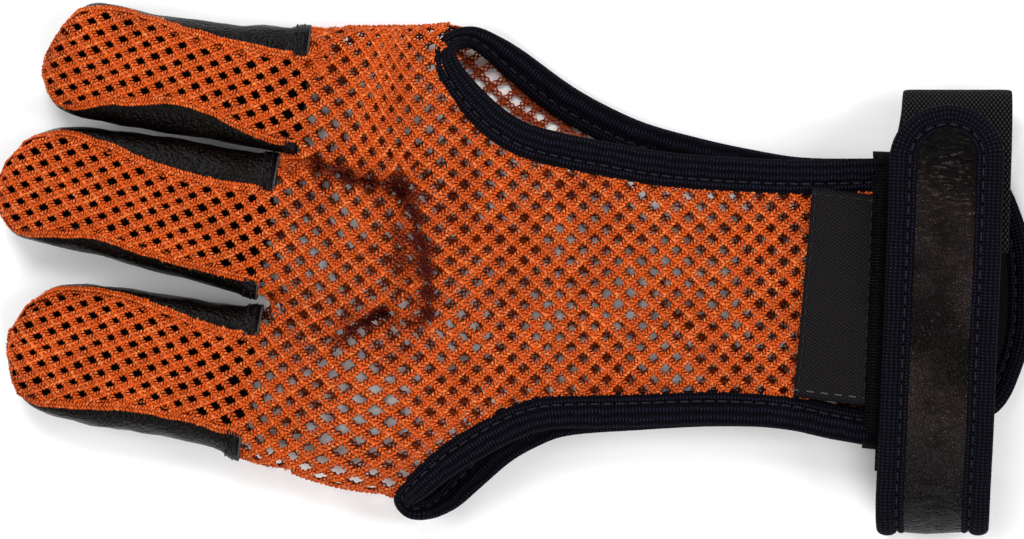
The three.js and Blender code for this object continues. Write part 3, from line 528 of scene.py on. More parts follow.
def edge_path(rows, steps=6):
    """Stations of a side opening's binding on the back and palm surfaces."""
    data = np.array(rows, float)
    data[[0, -1], 0] += BINDING_RUN_ON
    shares = np.linspace(0, 1, (len(rows) - 1) * steps + 1)
    plan = spline(np.c_[data[:, 0] * HAND_LENGTH, data[:, 1] * HAND_WIDTH, 0 * data[:, 0]], shares)
    traits = spline(np.c_[data[:, 2:4], 0 * data[:, 0]], shares)
    lift = np.clip(traits[:, 0], 0, 1)
    for point, share in zip(plan, lift):
        palm = max(hand_height(point[0], point[1], False), BINDING_THICKNESS / 2)
        back = hand_height(point[0], point[1], True)
        point[2] = palm + (back - palm) * share
    return plan, lift, traits[:, 1]


thumb_path, thumb_lift, thumb_wide = edge_path(THUMB_EDGE)
little_path, little_lift, little_wide = edge_path(LITTLE_EDGE)


def edge_limit(path, lift, on_back, side, short=0.0):
    """Plan limit of a panel along one opening: how far it reaches across at each place along."""
    keep = lift > 0.5 if on_back else lift <= 0.5
    run = path[keep][:, :2]
    run = run[np.argsort(run[:, 0])]

    def limit(x):
        if x < run[0, 0]:
            return side * 1000.0
        return float(np.interp(x, run[:, 0], run[:, 1])) - side * short

    return limit


# Net lattice

PITCH_ALONG = 2.703
PITCH_ACROSS = 2.48
LATTICE_START = (50.9, 4.9)
BEND_FROM, BEND_TO, HAND_BEND = 33.0, 9.0, 9.3
FINGER_BEND, FINGER_BEND_LENGTH = 16.0, 22.0
FINGER_NARROW = 0.83
ZONE_EDGES = (25.2, -9.1)
JUNCTIONS = (10.0, 2.0, -2.0)
NET_END = 137.0
TIP_DROP = 3.2

# Across places between which the net ends under the label, that much before its end; beside
# the label's foot it stops at the label's front
LABEL_TOP, LABEL_FOOT, LABEL_FRONT = 16.6, -26.5, 121.5
UNDER_LABEL = 3
# The finger net is laid flat from this share of the finger on, over this share
LAID_START, LAID_LENGTH = 0.62, 0.18
# Beside a finger's root the net follows the hand: within this way of the hand, past this share
ROOT_REACH, ROOT_SIDE = 2.2, 0.55
# Near a finger's root, up to this share, its net may be covered by another finger's
ROOT_SHARE = 0.3
# A lattice point belongs to a finger as well when it lies this far past the root, this near to it
PAST_ROOT, NEAR_ROOT = 7, 24
# Longest strand that may join two crossings, and shortest share of a cut one that is kept
LONGEST_STRAND, SHORTEST_SHARE = 8, 0.12
# Slow painted shade at random over the back net: its scale and its most
SHADE_SCALE, SHADE_DEPTH = 0.13, 0.16
# The back net dips under the lips of the bindings: depth, where it starts and how long it takes
DIP, DIP_START, DIP_LENGTH = 0.9, 3.6, 1.6

# The palm's lattice against the back's: scale, turn, shift, and slow drift with its scale
PALM_SCALE, PALM_TURN = 0.98, 0.045
PALM_SHIFT = (1.2, 0.9)
PALM_DRIFT, PALM_DRIFT_SCALE = 2.6, 0.075
# The palm's yarn against the back's
PALM_YARN = 0.84

# Sharp creases where the net is drawn together: path, reach, pull and depth
CREASES = [
    ([(28.3, 21.4), (31.2, 12.5), (33.2, 4.5), (34.8, -10.7)], 5.0, 0.52, 2.4),
    ([(9.0, 24.6), (15.5, 21.4), (28.3, 18.6)], 3.6, 0.45, 2.2),
    ([(13.5, -14.4), (18.5, -11.8), (24.4, -9.0)], 4.2, 0.5, 2.6),
    ([(25.6, 14.0), (27.4, 6.0), (28.6, -3.0)], 3.4, 0.34, 1.3),
    ([(24.4, -9.0), (29.0, -12.5), (33.0, -11.0)], 3.0, 0.3, 1.2),
]


# Strands between the roots of the index and middle fingers, by their plan ends
GUSSET = [
    [(0.2, 22.0), (4.2, 26.0)],
    [(0.2, 24.6), (2.0, 26.2)],
    [(1.6, 20.8), (6.8, 25.6)],
    [(4.6, 21.2), (9.6, 25.2)],
    [(0.3, 26.0), (5.4, 21.2)],
    [(0.2, 23.4), (2.8, 21.0)],
    [(3.2, 26.4), (8.2, 21.8)],
    [(6.2, 26.2), (9.8, 23.0)],
    [(0.2, 26.4), (5.0, 26.6), (9.5, 25.6)],
    [(0.6, 20.8), (0.6, 26.4)],
]


def creased_at(x, y):
    """Pull towards the creases at a plan point, their depth there, and the painted shade that the creases
    put there.
    """
    move, sink, painted_shade = np.zeros(2), 0.0, 0.0
    here = np.array([x, y])
    for path, reach, pull, depth in CREASES:
        nearest, gap = None, 1e9
        for a, b in zip(path, path[1:]):
            a, b = np.array(a), np.array(b)
            t = min(max((here - a) @ (b - a) / ((b - a) @ (b - a)), 0), 1)
            off = a + (b - a) * t - here
            if np.linalg.norm(off) < gap:
                nearest, gap = off, float(np.linalg.norm(off))
        if gap > 3 * reach:
            continue
        move += nearest * (pull * math.exp(-((gap / reach) ** 2)))
        sink += depth * math.exp(-((gap / 1.8) ** 2))
        # Painted shade, darkest along each crease's line
        painted_shade += depth * 0.4 * math.exp(-((gap / 1.2) ** 2))
    return move, sink, min(painted_shade, 1.0)


def gathered(spot):
    """A point of the back drawn into the creases near it."""
    move, sink, _ = creased_at(spot[0], spot[1])
    return spot + np.array([move[0], move[1], -sink])


def ease(share):
    share = min(max(share, 0), 1)
    return share * share * (3 - 2 * share)


class BentLine:
    """A centre line that runs straight from the wrist and bends towards the fingertips."""

    def __init__(self, start, place, angle_at, reach=150.0, step=0.25):
        count = int(reach / step)
        self.start, self.step = start, step
        self.angles = np.array([math.radians(angle_at(start - k * step)) for k in range(count)])
        moves = np.c_[np.cos(self.angles), -np.sin(self.angles)] * step
        self.points = np.asarray(place, float) - np.vstack([[0, 0], np.cumsum(moves, 0)[:-1]])

    def at(self, p):
        """Place and angle at a lattice length; past the start the line goes on straight."""
        k = (self.start - p) / self.step
        if k <= 0:
            angle = self.angles[0]
            along = np.array([math.cos(angle), -math.sin(angle)])
            return self.points[0] - along * k * self.step, angle
        k = min(k, len(self.points) - 1.001)
        i = int(k)
        w = k - i
        return (
            self.points[i] * (1 - w) + self.points[i + 1] * w,
            self.angles[i] * (1 - w) + self.angles[i + 1] * w,
        )

    def spot(self, p, q):
        place, angle = self.at(p)
        return place + q * np.array([math.sin(angle), math.cos(angle)])


hand_line = BentLine(
    BEND_FROM,
    (BEND_FROM, 0),
    lambda p: HAND_BEND * ease((BEND_FROM - p) / (BEND_FROM - BEND_TO)),
)


class FingerLine:
    """The lattice of one finger, going on smoothly from the hand's."""

    def __init__(self, finger, junction):
        self.finger = finger
        share = (finger.root[0] - junction) / math.cos(math.radians(9)) / finger.length
        sway = finger.row(share)[2]
        target = finger.place(share * finger.length, finger.half * sway)
        best = min(
            np.arange(-30, 40, 0.1),
            key=lambda p: abs(
                (target - hand_line.at(p)[0])
                @ np.array([math.cos(hand_line.at(p)[1]), -math.sin(hand_line.at(p)[1])])
            ),
        )
        place, angle = hand_line.at(best)
        self.p = float(best)
        self.q = float((target - place) @ np.array([math.sin(angle), math.cos(angle)]))
        begin = math.degrees(angle)
        self.line = BentLine(
            self.p,
            hand_line.spot(self.p, self.q),
            lambda p: begin + (FINGER_BEND - begin) * ease((self.p - p) / FINGER_BEND_LENGTH),
        )

    def spot(self, p, q):
        narrow = 1 + (FINGER_NARROW - 1) * ease((self.p - p) / FINGER_BEND_LENGTH)
        return self.line.spot(p, (q - self.q) * narrow)


finger_lines = [FingerLine(f, j) for f, j in zip(FINGERS, JUNCTIONS)]


def zone_of(p, q):
    """Which finger a lattice point would belong to, by its place across."""
    y = hand_line.spot(max(p, -5), q)[1]
    if y > ZONE_EDGES[0]:
        return 0
    return 1 if y > ZONE_EDGES[1] else 2


def lifted(plan, z, own=None):
    """Height raised to any finger that stands higher there, and whether another one covers it."""
    covered = False
    for finger in FINGERS:
        if finger is own:
            continue
        height = finger.height(plan)
        if height > z:
            if own is not None and height > z + 0.4:
                covered = True
            z = height
    if own is not None and plan[0] > 0:
        z = max(z, hand_height(*plan))
    return z, covered


def hand_spot(plan, below, inset=NET_WALL / 2):
    """Place on the hand of an unrolled plan point."""
    x = plan[0]
    centre, half, rise = hand_at(x / HAND_LENGTH)
    across, up, turn = on_ring(
        half * HAND_WIDTH, HAND_SEAM, rise * HAND_HEIGHT, inset, plan[1] - centre * HAND_WIDTH, below
    )
    y = centre * HAND_WIDTH + across
    if turn > 0 and not below:
        up -= turn * fold_drop(x, y)
        if x < 22:
            up = lifted((x, y), up)[0]
    return np.array([x, y, up])


def finger_spot(finger, plan, below, inset=NET_WALL / 2):
    """Place on a finger of an unrolled plan point, and whether the net is there."""
    forward, sideways = finger.local(plan)
    over = max(forward - finger.length, 0)
    forward = min(forward, finger.length)
    share = forward / finger.length
    wide, tall, sway, net, drift = finger.row(share)
    half = finger.half * wide
    arc = sideways - finger.half * sway
    across, up, turn = on_ring(half, FINGER_SEAM, tall * FINGER_HEIGHT, inset, arc, below)
    limit = 1.2 if share < finger.hem else net
    middle = 0 if share < finger.hem else drift
    off = abs(across / half - middle)
    laid = 0.0 if below else ease((share - LAID_START) / LAID_LENGTH)
    if laid > 0:
        ratio = min(abs(arc) / half, 1)
        fall = (1 - ratio**TOP_POWER) ** (1 / TOP_POWER)
        top = tall * FINGER_HEIGHT - inset
        across += (math.copysign(ratio * (half - inset), arc) - across) * laid
        up += (FINGER_SEAM + (top - FINGER_SEAM) * fall - up) * laid
        off += (abs(arc / half - middle) - off) * laid
        limit = min(limit, 1.0)
    between = -1 if finger.name == "index" else 1 if finger.name == "ring" else 0
    root_side = arc * between >= 0 and share < finger.hem and plan[0] > -ROOT_REACH
    if not below and root_side and abs(arc) > ROOT_SIDE * half:
        high = hand_height(max(plan[0], 0.0), plan[1])
        high = high + (HAND_SEAM - high) * min(max(-plan[0] / ROOT_REACH, 0), 1)
        high = max(high, lifted(plan, 0.0)[0])
        return np.array([*plan, high]), high > SEAM_LEVEL
    where = finger.place(forward, finger.half * sway + across)
    inside_tip = over <= (TIP_DROP if not below else 0)
    if turn > 0 and not below:
        up -= turn * fold_drop(*where)
    covered = False
    if forward < ROOT_SHARE * finger.length and not below:
        up, covered = lifted(where, up, finger)
    up -= over
    return np.array([*where, up]), inside_tip and not covered and off <= limit


thumb_limit = edge_limit(thumb_path, thumb_lift, True, 1, BINDING_TUCK)
little_limit = edge_limit(little_path, little_lift, True, -1, BINDING_TUCK)
thumb_palm = edge_limit(thumb_path, thumb_lift, False, 1)
little_palm = edge_limit(little_path, little_lift, False, -1)
SEAM_LEVEL = 6.9


def back_spot(branch, p, q):
    """Place of a lattice point of the back, and whether the net is there."""
    if branch < 0:
        spot = hand_spot(hand_line.spot(p, q), False)
        low, high = little_limit(spot[0]), thumb_limit(spot[0])
        end = NET_END if spot[1] > LABEL_TOP else NET_END - UNDER_LABEL
        end = LABEL_FRONT if spot[1] < LABEL_FOOT else end
        inside = low < spot[1] < high and spot[2] > SEAM_LEVEL and spot[0] < end
        near = min(high - spot[1], spot[1] - low)
        spot[2] -= DIP * ease((DIP_START - near) / DIP_LENGTH)
        return gathered(spot), inside
    spot, inside = finger_spot(FINGERS[branch], finger_lines[branch].spot(p, q), False)
    inside = inside and spot[2] > SEAM_LEVEL
    return gathered(spot), inside


def palm_spot(branch, p, q):
    """Place of a lattice point of the palm, and whether the net is there."""
    sway = Vector((p * PALM_DRIFT_SCALE, q * PALM_DRIFT_SCALE, 3.0))
    p = p * PALM_SCALE - q * PALM_TURN + PALM_SHIFT[0] + PALM_DRIFT * noise.noise(sway)
    drift = PALM_DRIFT * noise.noise(sway + Vector((7, 3, 1)))
    q = q * PALM_SCALE + p * PALM_TURN + PALM_SHIFT[1] + drift
    if branch < 0:
        spot = hand_spot(hand_line.spot(p, q), True)
        inside = (
            little_palm(spot[0]) < spot[1] < thumb_palm(spot[0])
            and spot[2] < SEAM_LEVEL
            and spot[0] < NET_END - 1
        )
        return spot, inside
    finger = FINGERS[branch]
    plan = finger_lines[branch].spot(p, q)
    spot, inside = finger_spot(finger, plan, True)
    share = finger.local(plan)[0] / finger.length
    return spot, share < finger.hem and spot[2] < SEAM_LEVEL


def net_lattice(spot_of, low, high, jitter):
    """Crossings of the net by lattice place: for each branch there, the spot and if it holds net."""
    rng = np.random.default_rng(7)
    found = {}
    for i in range(low[0], high[0]):
        for j in range(low[1], high[1]):
            shake = rng.uniform(-jitter, jitter, 2)
            if (i + j) % 2:
                continue
            p = LATTICE_START[0] + i * PITCH_ALONG + shake[0]
            q = LATTICE_START[1] + j * PITCH_ACROSS + shake[1]
            zone = zone_of(p, q)
            home = zone if p < finger_lines[zone].p else -1
            branches = [home]
            for k, line in enumerate(finger_lines):
                if k != home and p < line.p - PAST_ROOT and abs(q - line.q) < NEAR_ROOT:
                    branches.append(k)
            for k in branches:
                spot, inside = spot_of(k, p, q)
                if k != home and spot[0] > -0.5:
                    continue
                found[i, j, k] = (spot, inside, p, q, k == home)
    return found


def normal_at(spot_of, branch, p, q, spot):
    a = spot_of(branch, p + 0.5, q)[0] - spot
    b = spot_of(branch, p, q + 0.5)[0] - spot
    n = np.cross(a, b)
    size = np.linalg.norm(n)
    return n / size if size > 1e-6 else np.array([0, 0, 1.0])


def strands(spot_of, found, flip=1):
    """Ends, normals and braid turns of every strand, cut where the net stops."""
    rows = []
    normals = {}

    def normal(key):
        if key not in normals:
            spot, _, p, q, _ = found[key]
            way = flip * normal_at(spot_of, key[2], p, q, spot)
            normals[key] = -way if way[2] * flip < -0.02 else way
        return normals[key]

    def cut_row(key, other):
        """The part of a strand from a crossing in the net to where the net stops."""
        spot, _, p, q, _ = found[key]
        op, oq = found[other][2:4]
        low, high = 0.0, 1.0
        for _ in range(6):
            mid = (low + high) / 2
            if spot_of(key[2], p + (op - p) * mid, q + (oq - q) * mid)[1]:
                low = mid
            else:
                high = mid
        end = spot_of(key[2], p + (op - p) * low, q + (oq - q) * low)[0]
        if low > SHORTEST_SHARE and np.linalg.norm(end - spot) < LONGEST_STRAND:
            rows.append((spot, end, normal(key), normal(key), low, key[2]))

    for key, (spot, inside, _, _, at_home) in found.items():
        for step in ((1, 1), (1, -1)):
            for branch in {key[2], -1, 0, 1, 2}:
                other = (key[0] + step[0], key[1] + step[1], branch)
                if other not in found:
                    continue
                there, other_in, _, _, other_home = found[other]
                if branch == key[2]:
                    if inside != other_in:
                        cut_row(*((key, other) if inside else (other, key)))
                        continue
                elif not (at_home and other_home):
                    continue
                if inside and other_in and np.linalg.norm(there - spot) < LONGEST_STRAND:
                    on = max(branch, key[2]) if there[0] + spot[0] < 4 else -1
                    rows.append((spot, there, normal(key), normal(other), 1.0, on))
    return rows


def painted_shade_at(point):
    """Painted shade on the back net at a point, from nought to one: the creases' painted shade and a slow
    painted shade at random.
    """
    if point[2] < HAND_SEAM:
        return 0.0
    spot = Vector((point[0] * SHADE_SCALE, point[1] * SHADE_SCALE, 7.0))
    soft = 0.5 + 0.5 * noise.noise(spot)
    return min(creased_at(point[0], point[1])[2] + SHADE_DEPTH * soft, 1.0)


def strand_object(name, rows):
    """Loose edges that the braid is built on."""
    verts = to_frame([p for row in rows for p in row[:2]])
    edges = [(2 * k, 2 * k + 1) for k in range(len(rows))]
    piece = new_object(name, verts, edges, [])
    set_vector(piece.data, "lift", [n for row in rows for n in row[2:4]])
    set_float(piece.data, "turns", [row[4] for row in rows for _ in (0, 1)])
    # Painted shade at each strand end, which darkens the yarn's colour
    set_float(piece.data, "painted_shade", [painted_shade_at(p) for row in rows for p in row[:2]])
    return piece


def rope_rows(path, normals, piece_length=3.7):
    """A rope along a path as rows of strands."""
    path = np.asarray(path, float)
    run = np.concatenate([[0], np.cumsum(np.linalg.norm(np.diff(path, axis=0), axis=1))])
    count = max(int(round(run[-1] / piece_length)), 1)
    where = np.linspace(0, run[-1], count + 1)
    spots = along_curve(path, run, where)
    ups = along_curve(np.asarray(normals, float), run, where)
    return [
        (spots[k], spots[k + 1], ups[k], ups[k + 1], 1.0, -1) for k in range(len(spots) - 1)
    ]


# Geometry node trees


class Tree:
    """A geometry node tree under construction."""

    def __init__(self, name):
        self.tree = bpy.data.node_groups.new(name, "GeometryNodeTree")
        face = self.tree.interface
        face.new_socket("Geometry", in_out="INPUT", socket_type="NodeSocketGeometry")
        face.new_socket("Geometry", in_out="OUTPUT", socket_type="NodeSocketGeometry")
        self.source = self.tree.nodes.new("NodeGroupInput")
        self.sink = self.tree.nodes.new("NodeGroupOutput")

    def size(self, name, kind, default):
        """A named input of the tree."""
        item = self.tree.interface.new_socket(name, in_out="INPUT", socket_type=kind)
        if default is not None:
            item.default_value = default
        return self.source.outputs[name]

    def node(self, kind, inputs=(), **settings):
        made = self.tree.nodes.new(kind)
        for key, value in settings.items():
            setattr(made, key, value)
        for key, value in dict(inputs).items():
            self.feed(made.inputs[key], value)
        return made

    def feed(self, socket, value):
        if isinstance(value, bpy.types.NodeSocket):
            self.tree.links.new(value, socket)
        elif isinstance(value, (list, tuple)) and value and isinstance(value[0], bpy.types.NodeSocket):
            for one in value:
                self.tree.links.new(one, socket)
        else:
            socket.default_value = value

    def math(self, operation, a, b=0.0):
        return self.node("ShaderNodeMath", {0: a, 1: b}, operation=operation).outputs[0]

    def vector(self, operation, a, b=(0, 0, 0)):
        return self.node("ShaderNodeVectorMath", {0: a, 1: b}, operation=operation).outputs[0]

    def scaled(self, a, by):
        made = self.node("ShaderNodeVectorMath", {0: a}, operation="SCALE")
        self.feed(made.inputs["Scale"], by)
        return made.outputs[0]

    def attribute(self, name, kind):
        made = self.tree.nodes.new("GeometryNodeInputNamedAttribute")
        made.data_type = kind
        made.inputs["Name"].default_value = name
        return made.outputs["Attribute"]

    def finish(self, geometry, material):
        real = self.node("GeometryNodeRealizeInstances", {"Geometry": geometry}).outputs[0]
        worn = self.node("GeometryNodeSetMaterial", {"Geometry": real, "Material": material}).outputs[0]
        self.tree.links.new(worn, self.sink.inputs[0])
        return self.tree


def braid_tree():
    """Three yarns plaited along every edge of the mesh."""
    t = Tree("Braid")
    radius = t.size("Yarn Radius", "NodeSocketFloat", 0.0003)
    spread = t.size("Braid Spread", "NodeSocketFloat", 0.0006)
    depth = t.size("Braid Depth", "NodeSocketFloat", 0.00025)
    steps = t.size("Steps", "NodeSocketInt", 10)
    sides = t.size("Sides", "NodeSocketInt", 4)
    material = t.size("Material", "NodeSocketMaterial", None)
    curve = t.node("GeometryNodeMeshToCurve", {"Mesh": t.source.outputs[0]}).outputs[0]
    fine = t.node("GeometryNodeResampleCurve", {"Curve": curve, "Count": steps}).outputs[0]
    lift = t.attribute("lift", "FLOAT_VECTOR")
    turns = t.math("MULTIPLY", t.attribute("turns", "FLOAT"), t.size("Turns", "NodeSocketFloat", 1.5))
    painted_shade = t.attribute("painted_shade", "FLOAT")
    tangent = t.tree.nodes.new("GeometryNodeInputTangent").outputs[0]
    share = t.tree.nodes.new("GeometryNodeSplineParameter").outputs["Factor"]
    across = t.vector("NORMALIZE", t.vector("CROSS_PRODUCT", tangent, lift))
    ring = t.node(
        "GeometryNodeCurvePrimitiveCircle", {"Resolution": sides, "Radius": radius}, mode="RADIUS"
    ).outputs[0]
    yarns = []
    for k in range(3):
        turn = t.math("ADD", t.math("MULTIPLY", share, turns), k / 3)
        angle = t.math("MULTIPLY", turn, math.tau)
        sway = t.math("SINE", angle)
        rise = t.math("SINE", t.math("MULTIPLY", angle, 2.0))
        offset = t.vector(
            "ADD",
            t.scaled(across, t.math("MULTIPLY", sway, spread)),
            t.scaled(lift, t.math("MULTIPLY", rise, depth)),
        )
        # The stored rise is the yarn's own rise less the painted shade; the yarn's colour turns to
        # painted shade where this is low
        height = t.math("SUBTRACT", rise, t.math("MULTIPLY", painted_shade, 2.2))
        stored = t.node(
            "GeometryNodeStoreNamedAttribute",
            {"Geometry": fine, "Name": "rise", "Value": height},
            data_type="FLOAT",
            domain="POINT",
        ).outputs[0]
        moved = t.node("GeometryNodeSetPosition", {"Geometry": stored, "Offset": offset}).outputs[0]
        skin = {"Curve": moved, "Profile Curve": ring, "Fill Caps": True}
        yarns.append(t.node("GeometryNodeCurveToMesh", skin).outputs[0])
    joined = t.node("GeometryNodeJoinGeometry")
    for yarn in reversed(yarns):
        t.tree.links.new(yarn, joined.inputs[0])
    soft = t.node("GeometryNodeSetShadeSmooth", {"Geometry": joined.outputs[0]}).outputs[0]
    return t.finish(soft, material)


def stitch_tree():
    """Short bowed stitches laid end to end along every edge path of the mesh."""
    t = Tree("Stitches")
    length = t.size("Stitch Length", "NodeSocketFloat", 0.002)
    pitch = t.size("Stitch Pitch", "NodeSocketFloat", 0.003)
    radius = t.size("Thread Radius", "NodeSocketFloat", 0.0003)
    bow = t.size("Bow", "NodeSocketFloat", 0.0003)
    material = t.size("Material", "NodeSocketMaterial", None)
    curve = t.node("GeometryNodeMeshToCurve", {"Mesh": t.source.outputs[0]}).outputs[0]
    spots = t.node(
        "GeometryNodeResampleCurve", {"Curve": curve, "Length": pitch}, mode="LENGTH"
    ).outputs[0]
    lift = t.attribute("lift", "FLOAT_VECTOR")
    tangent = t.tree.nodes.new("GeometryNodeInputTangent").outputs[0]
    half = t.math("MULTIPLY", length, 0.5)
    start = t.node("ShaderNodeCombineXYZ", {"X": t.math("MULTIPLY", half, -1.0)}).outputs[0]
    end = t.node("ShaderNodeCombineXYZ", {"X": half}).outputs[0]
    line = t.node("GeometryNodeCurvePrimitiveLine", {"Start": start, "End": end}).outputs[0]
    line = t.node("GeometryNodeResampleCurve", {"Curve": line, "Count": 7}).outputs[0]
    share = t.tree.nodes.new("GeometryNodeSplineParameter").outputs["Factor"]
    arch = t.math("SINE", t.math("MULTIPLY", share, math.pi))
    rise = t.node("ShaderNodeCombineXYZ", {"Z": t.math("MULTIPLY", arch, bow)}).outputs[0]
    bent = t.node("GeometryNodeSetPosition", {"Geometry": line, "Offset": rise}).outputs[0]
    ring = t.node(
        "GeometryNodeCurvePrimitiveCircle", {"Resolution": 7, "Radius": radius}, mode="RADIUS"
    ).outputs[0]
    thread = t.node(
        "GeometryNodeCurveToMesh", {"Curve": bent, "Profile Curve": ring, "Fill Caps": True}
    ).outputs[0]
    first = t.node(
        "FunctionNodeAlignRotationToVector", {"Vector": tangent}, axis="X", pivot_axis="AUTO"
    ).outputs[0]
    turned = t.node(
        "FunctionNodeAlignRotationToVector", {"Rotation": first, "Vector": lift}, axis="Z", pivot_axis="X"
    ).outputs[0]
    laid = t.node(
        "GeometryNodeInstanceOnPoints", {"Points": spots, "Instance": thread, "Rotation": turned}
    ).outputs[0]
    real = t.node("GeometryNodeRealizeInstances", {"Geometry": laid}).outputs[0]
    soft = t.node("GeometryNodeSetShadeSmooth", {"Geometry": real}).outputs[0]
    return t.finish(soft, material)


def grown(source, tree, name, material, **sizes):
    """Runs a node tree on a mesh and keeps its result as a plain mesh."""
    modifier = source.modifiers.new(tree.name, "NODES")
    modifier.node_group = tree
    names = {i.name: i.identifier for i in tree.interface.items_tree if i.in_out == "INPUT"}
    modifier[names["Material"]] = material
    for key, value in sizes.items():
        modifier[names[key.replace("_", " ").title()]] = value
    depsgraph = bpy.context.evaluated_depsgraph_get()
    mesh = bpy.data.meshes.new_from_object(
        source.evaluated_get(depsgraph), preserve_all_data_layers=True, depsgraph=depsgraph
    )
    mesh.name = name
    source.modifiers.remove(modifier)
    bpy.data.objects.remove(source)
    piece = bpy.data.objects.new(name, mesh)
    bpy.context.scene.collection.objects.link(piece)
    if not len(mesh.polygons):
        raise RuntimeError(f"{name} came out empty")
    return piece


def path_object(name, paths, lifts):
    """Edge paths for stitches to follow, each with the direction that its stitches stand up in."""
    verts, edges, ups = [], [], []
    for path, lift in zip(paths, lifts):
        base = len(verts)
        verts += list(to_frame(path))
        ups += list(np.broadcast_to(np.asarray(lift, float), (len(path), 3)))
        edges += [(base + k, base + k + 1) for k in range(len(path) - 1)]
    piece = new_object(name, verts, edges, [])
    set_vector(piece.data, "lift", ups)
    return piece


# Finishes


class Wire:
    """A material socket that arithmetic can be done on."""

    def __init__(self, finish, socket):
        self.finish, self.socket = finish, socket

    def _math(self, operation, a, b, clamp=False):
        return self.finish.add("ShaderNodeMath", {0: a, 1: b}, operation=operation, use_clamp=clamp)

    def __add__(self, other):
        return self._math("ADD", self, other)

    __radd__ = __add__

    def __sub__(self, other):
        return self._math("SUBTRACT", self, other)

    def __rsub__(self, other):
        return self._math("SUBTRACT", other, self)

    def __mul__(self, other):
        return self._math("MULTIPLY", self, other)

    __rmul__ = __mul__

    def __truediv__(self, other):
        return self._math("DIVIDE", self, other)

    def __pow__(self, other):
        return self._math("POWER", self, other)

    def sin(self):
        return self._math("SINE", self, 0.0)

    def size(self):
        return self._math("ABSOLUTE", self, 0.0)

    def clamped(self):
        return self._math("ADD", self, 0.0, True)

    def most(self, other):
        return self._math("MAXIMUM", self, other)

    def between(self, low, high):
        """Nought below low, one above high, straight in between."""
        return self.finish.add(
            "ShaderNodeMapRange", {"Value": self, "From Min": low, "From Max": high}, clamp=True
        )


class Finish:
    """A material under construction."""

    def __init__(self, name):
        self.material = bpy.data.materials.new(name)
        self.material.use_nodes = True
        self.tree = self.material.node_tree
        self.shader = self.tree.nodes["Principled BSDF"]
        self.shader.inputs["Specular IOR Level"].default_value = 0.35

    def add(self, kind, inputs=(), output=0, **settings):
        made = self.tree.nodes.new(kind)
        for key, value in settings.items():
            setattr(made, key, value)
        for key, value in dict(inputs).items():
            if isinstance(value, Wire):
                self.tree.links.new(value.socket, made.inputs[key])
            else:
                made.inputs[key].default_value = value
        return Wire(self, made.outputs[output])

    def place(self, stretch=(1, 1, 1), turn=(0, 0, 0)):
        """Object coordinates, stretched and turned."""
        where = self.add("ShaderNodeTexCoord", output="Object")
        return self.add(
            "ShaderNodeMapping", {"Vector": where, "Scale": stretch, "Rotation": turn}
        )

    def run(self):
        """The piece's own UV as two wires, along and round, in metres."""
        uv = self.add("ShaderNodeUVMap", uv_map="run")
        return (
            self.add("ShaderNodeSeparateXYZ", {0: uv}, output=0),
            self.add("ShaderNodeSeparateXYZ", {0: uv}, output=1),
        )

    def value(self, name):
        return self.add("ShaderNodeAttribute", output="Fac", attribute_name=name)

    def noise(self, scale, detail=3.0, rough=0.5, where=None):
        return self.add(
            "ShaderNodeTexNoise",
            {"Vector": where or self.place(), "Scale": scale, "Detail": detail, "Roughness": rough},
        )

    def cells(self, scale, where=None, feature="F1"):
        return self.add(
            "ShaderNodeTexVoronoi",
            {"Vector": where or self.place(), "Scale": scale},
            feature=feature,
        )

    def blend(self, factor, first, second):
        """Mixes two colours, each a tuple or a wire."""
        made = self.tree.nodes.new("ShaderNodeMix")
        made.data_type = "RGBA"
        for key, value in ((0, factor), (6, first), (7, second)):
            if isinstance(value, Wire):
                self.tree.links.new(value.socket, made.inputs[key])
            else:
                made.inputs[key].default_value = value if key == 0 else (*value[:3], 1)
        return Wire(self, made.outputs[2])

    def bump(self, height, distance, strength=1.0):
        made = self.add(
            "ShaderNodeBump", {"Height": height, "Distance": distance, "Strength": strength}
        )
        self.tree.links.new(made.socket, self.shader.inputs["Normal"])

    def wear(self, **inputs):
        for key, value in inputs.items():
            socket = self.shader.inputs[key.replace("_", " ")]
            if isinstance(value, Wire):
                self.tree.links.new(value.socket, socket)
            else:
                socket.default_value = value
        return self.material


def shade(colour, by):
    return tuple(c * by for c in colour[:3])


def yarn_finish(colour, yarn_shade):
    f = Finish("Orange yarn")
    rise = (f.value("rise") * 0.5 + 0.5).clamped()
    patch = f.noise(90, 2.0)
    fibre = f.noise(2600, 2.0, 0.6)
    ply = f.noise(900, 2.0, 0.5)
    bright = f.blend(patch.between(0.35, 0.7), shade(colour, 0.84), shade(colour, 1.04))
    bright = f.blend(fibre.between(0.3, 0.7), shade(colour, 0.42), bright)
    # Painted shade: the yarn turns to its shade colour where it runs under the other yarns and in the
    # creases
    tone = f.blend((rise * 1.15 - 0.08).clamped() ** 1.1, tuple(yarn_shade[:3]), bright)
    # Painted highlights: light orange flecks on the raised parts of the yarn
    fleck = ply.between(0.5, 0.68) * rise.between(0.55, 0.95)
    tone = f.blend(fleck * 0.75, tone, (1.0, 0.36, 0.11))
    f.bump(fibre, 0.0001, 0.6)
    f.shader.inputs["Specular IOR Level"].default_value = 0.14
    return f.wear(Base_Color=tone, Roughness=fibre * 0.2 + 0.4)


def stall_finish(colour):
    f = Finish("Stall leather")
    grain = f.cells(1450, feature="SMOOTH_F1")
    fine = f.noise(3400, 3.0)
    broad = f.noise(60, 3.0)
    fold = f.noise(220, 3.0, 0.55, f.place((1, 0.4, 1), (0, 0, 0.15)))
    tone = f.blend(broad.between(0.35, 0.7), shade(colour, 0.5), shade(colour, 1.6))
    tone = f.blend((grain * 1.7).clamped() ** 1.5, tone, shade(colour, 0.2))
    f.bump(fold * 0.4 + fine * 0.4 - grain * 1.1, 0.00034, 0.85)
    f.shader.inputs["Specular IOR Level"].default_value = 0.09
    return f.wear(Base_Color=tone, Roughness=broad * 0.2 + 0.22)


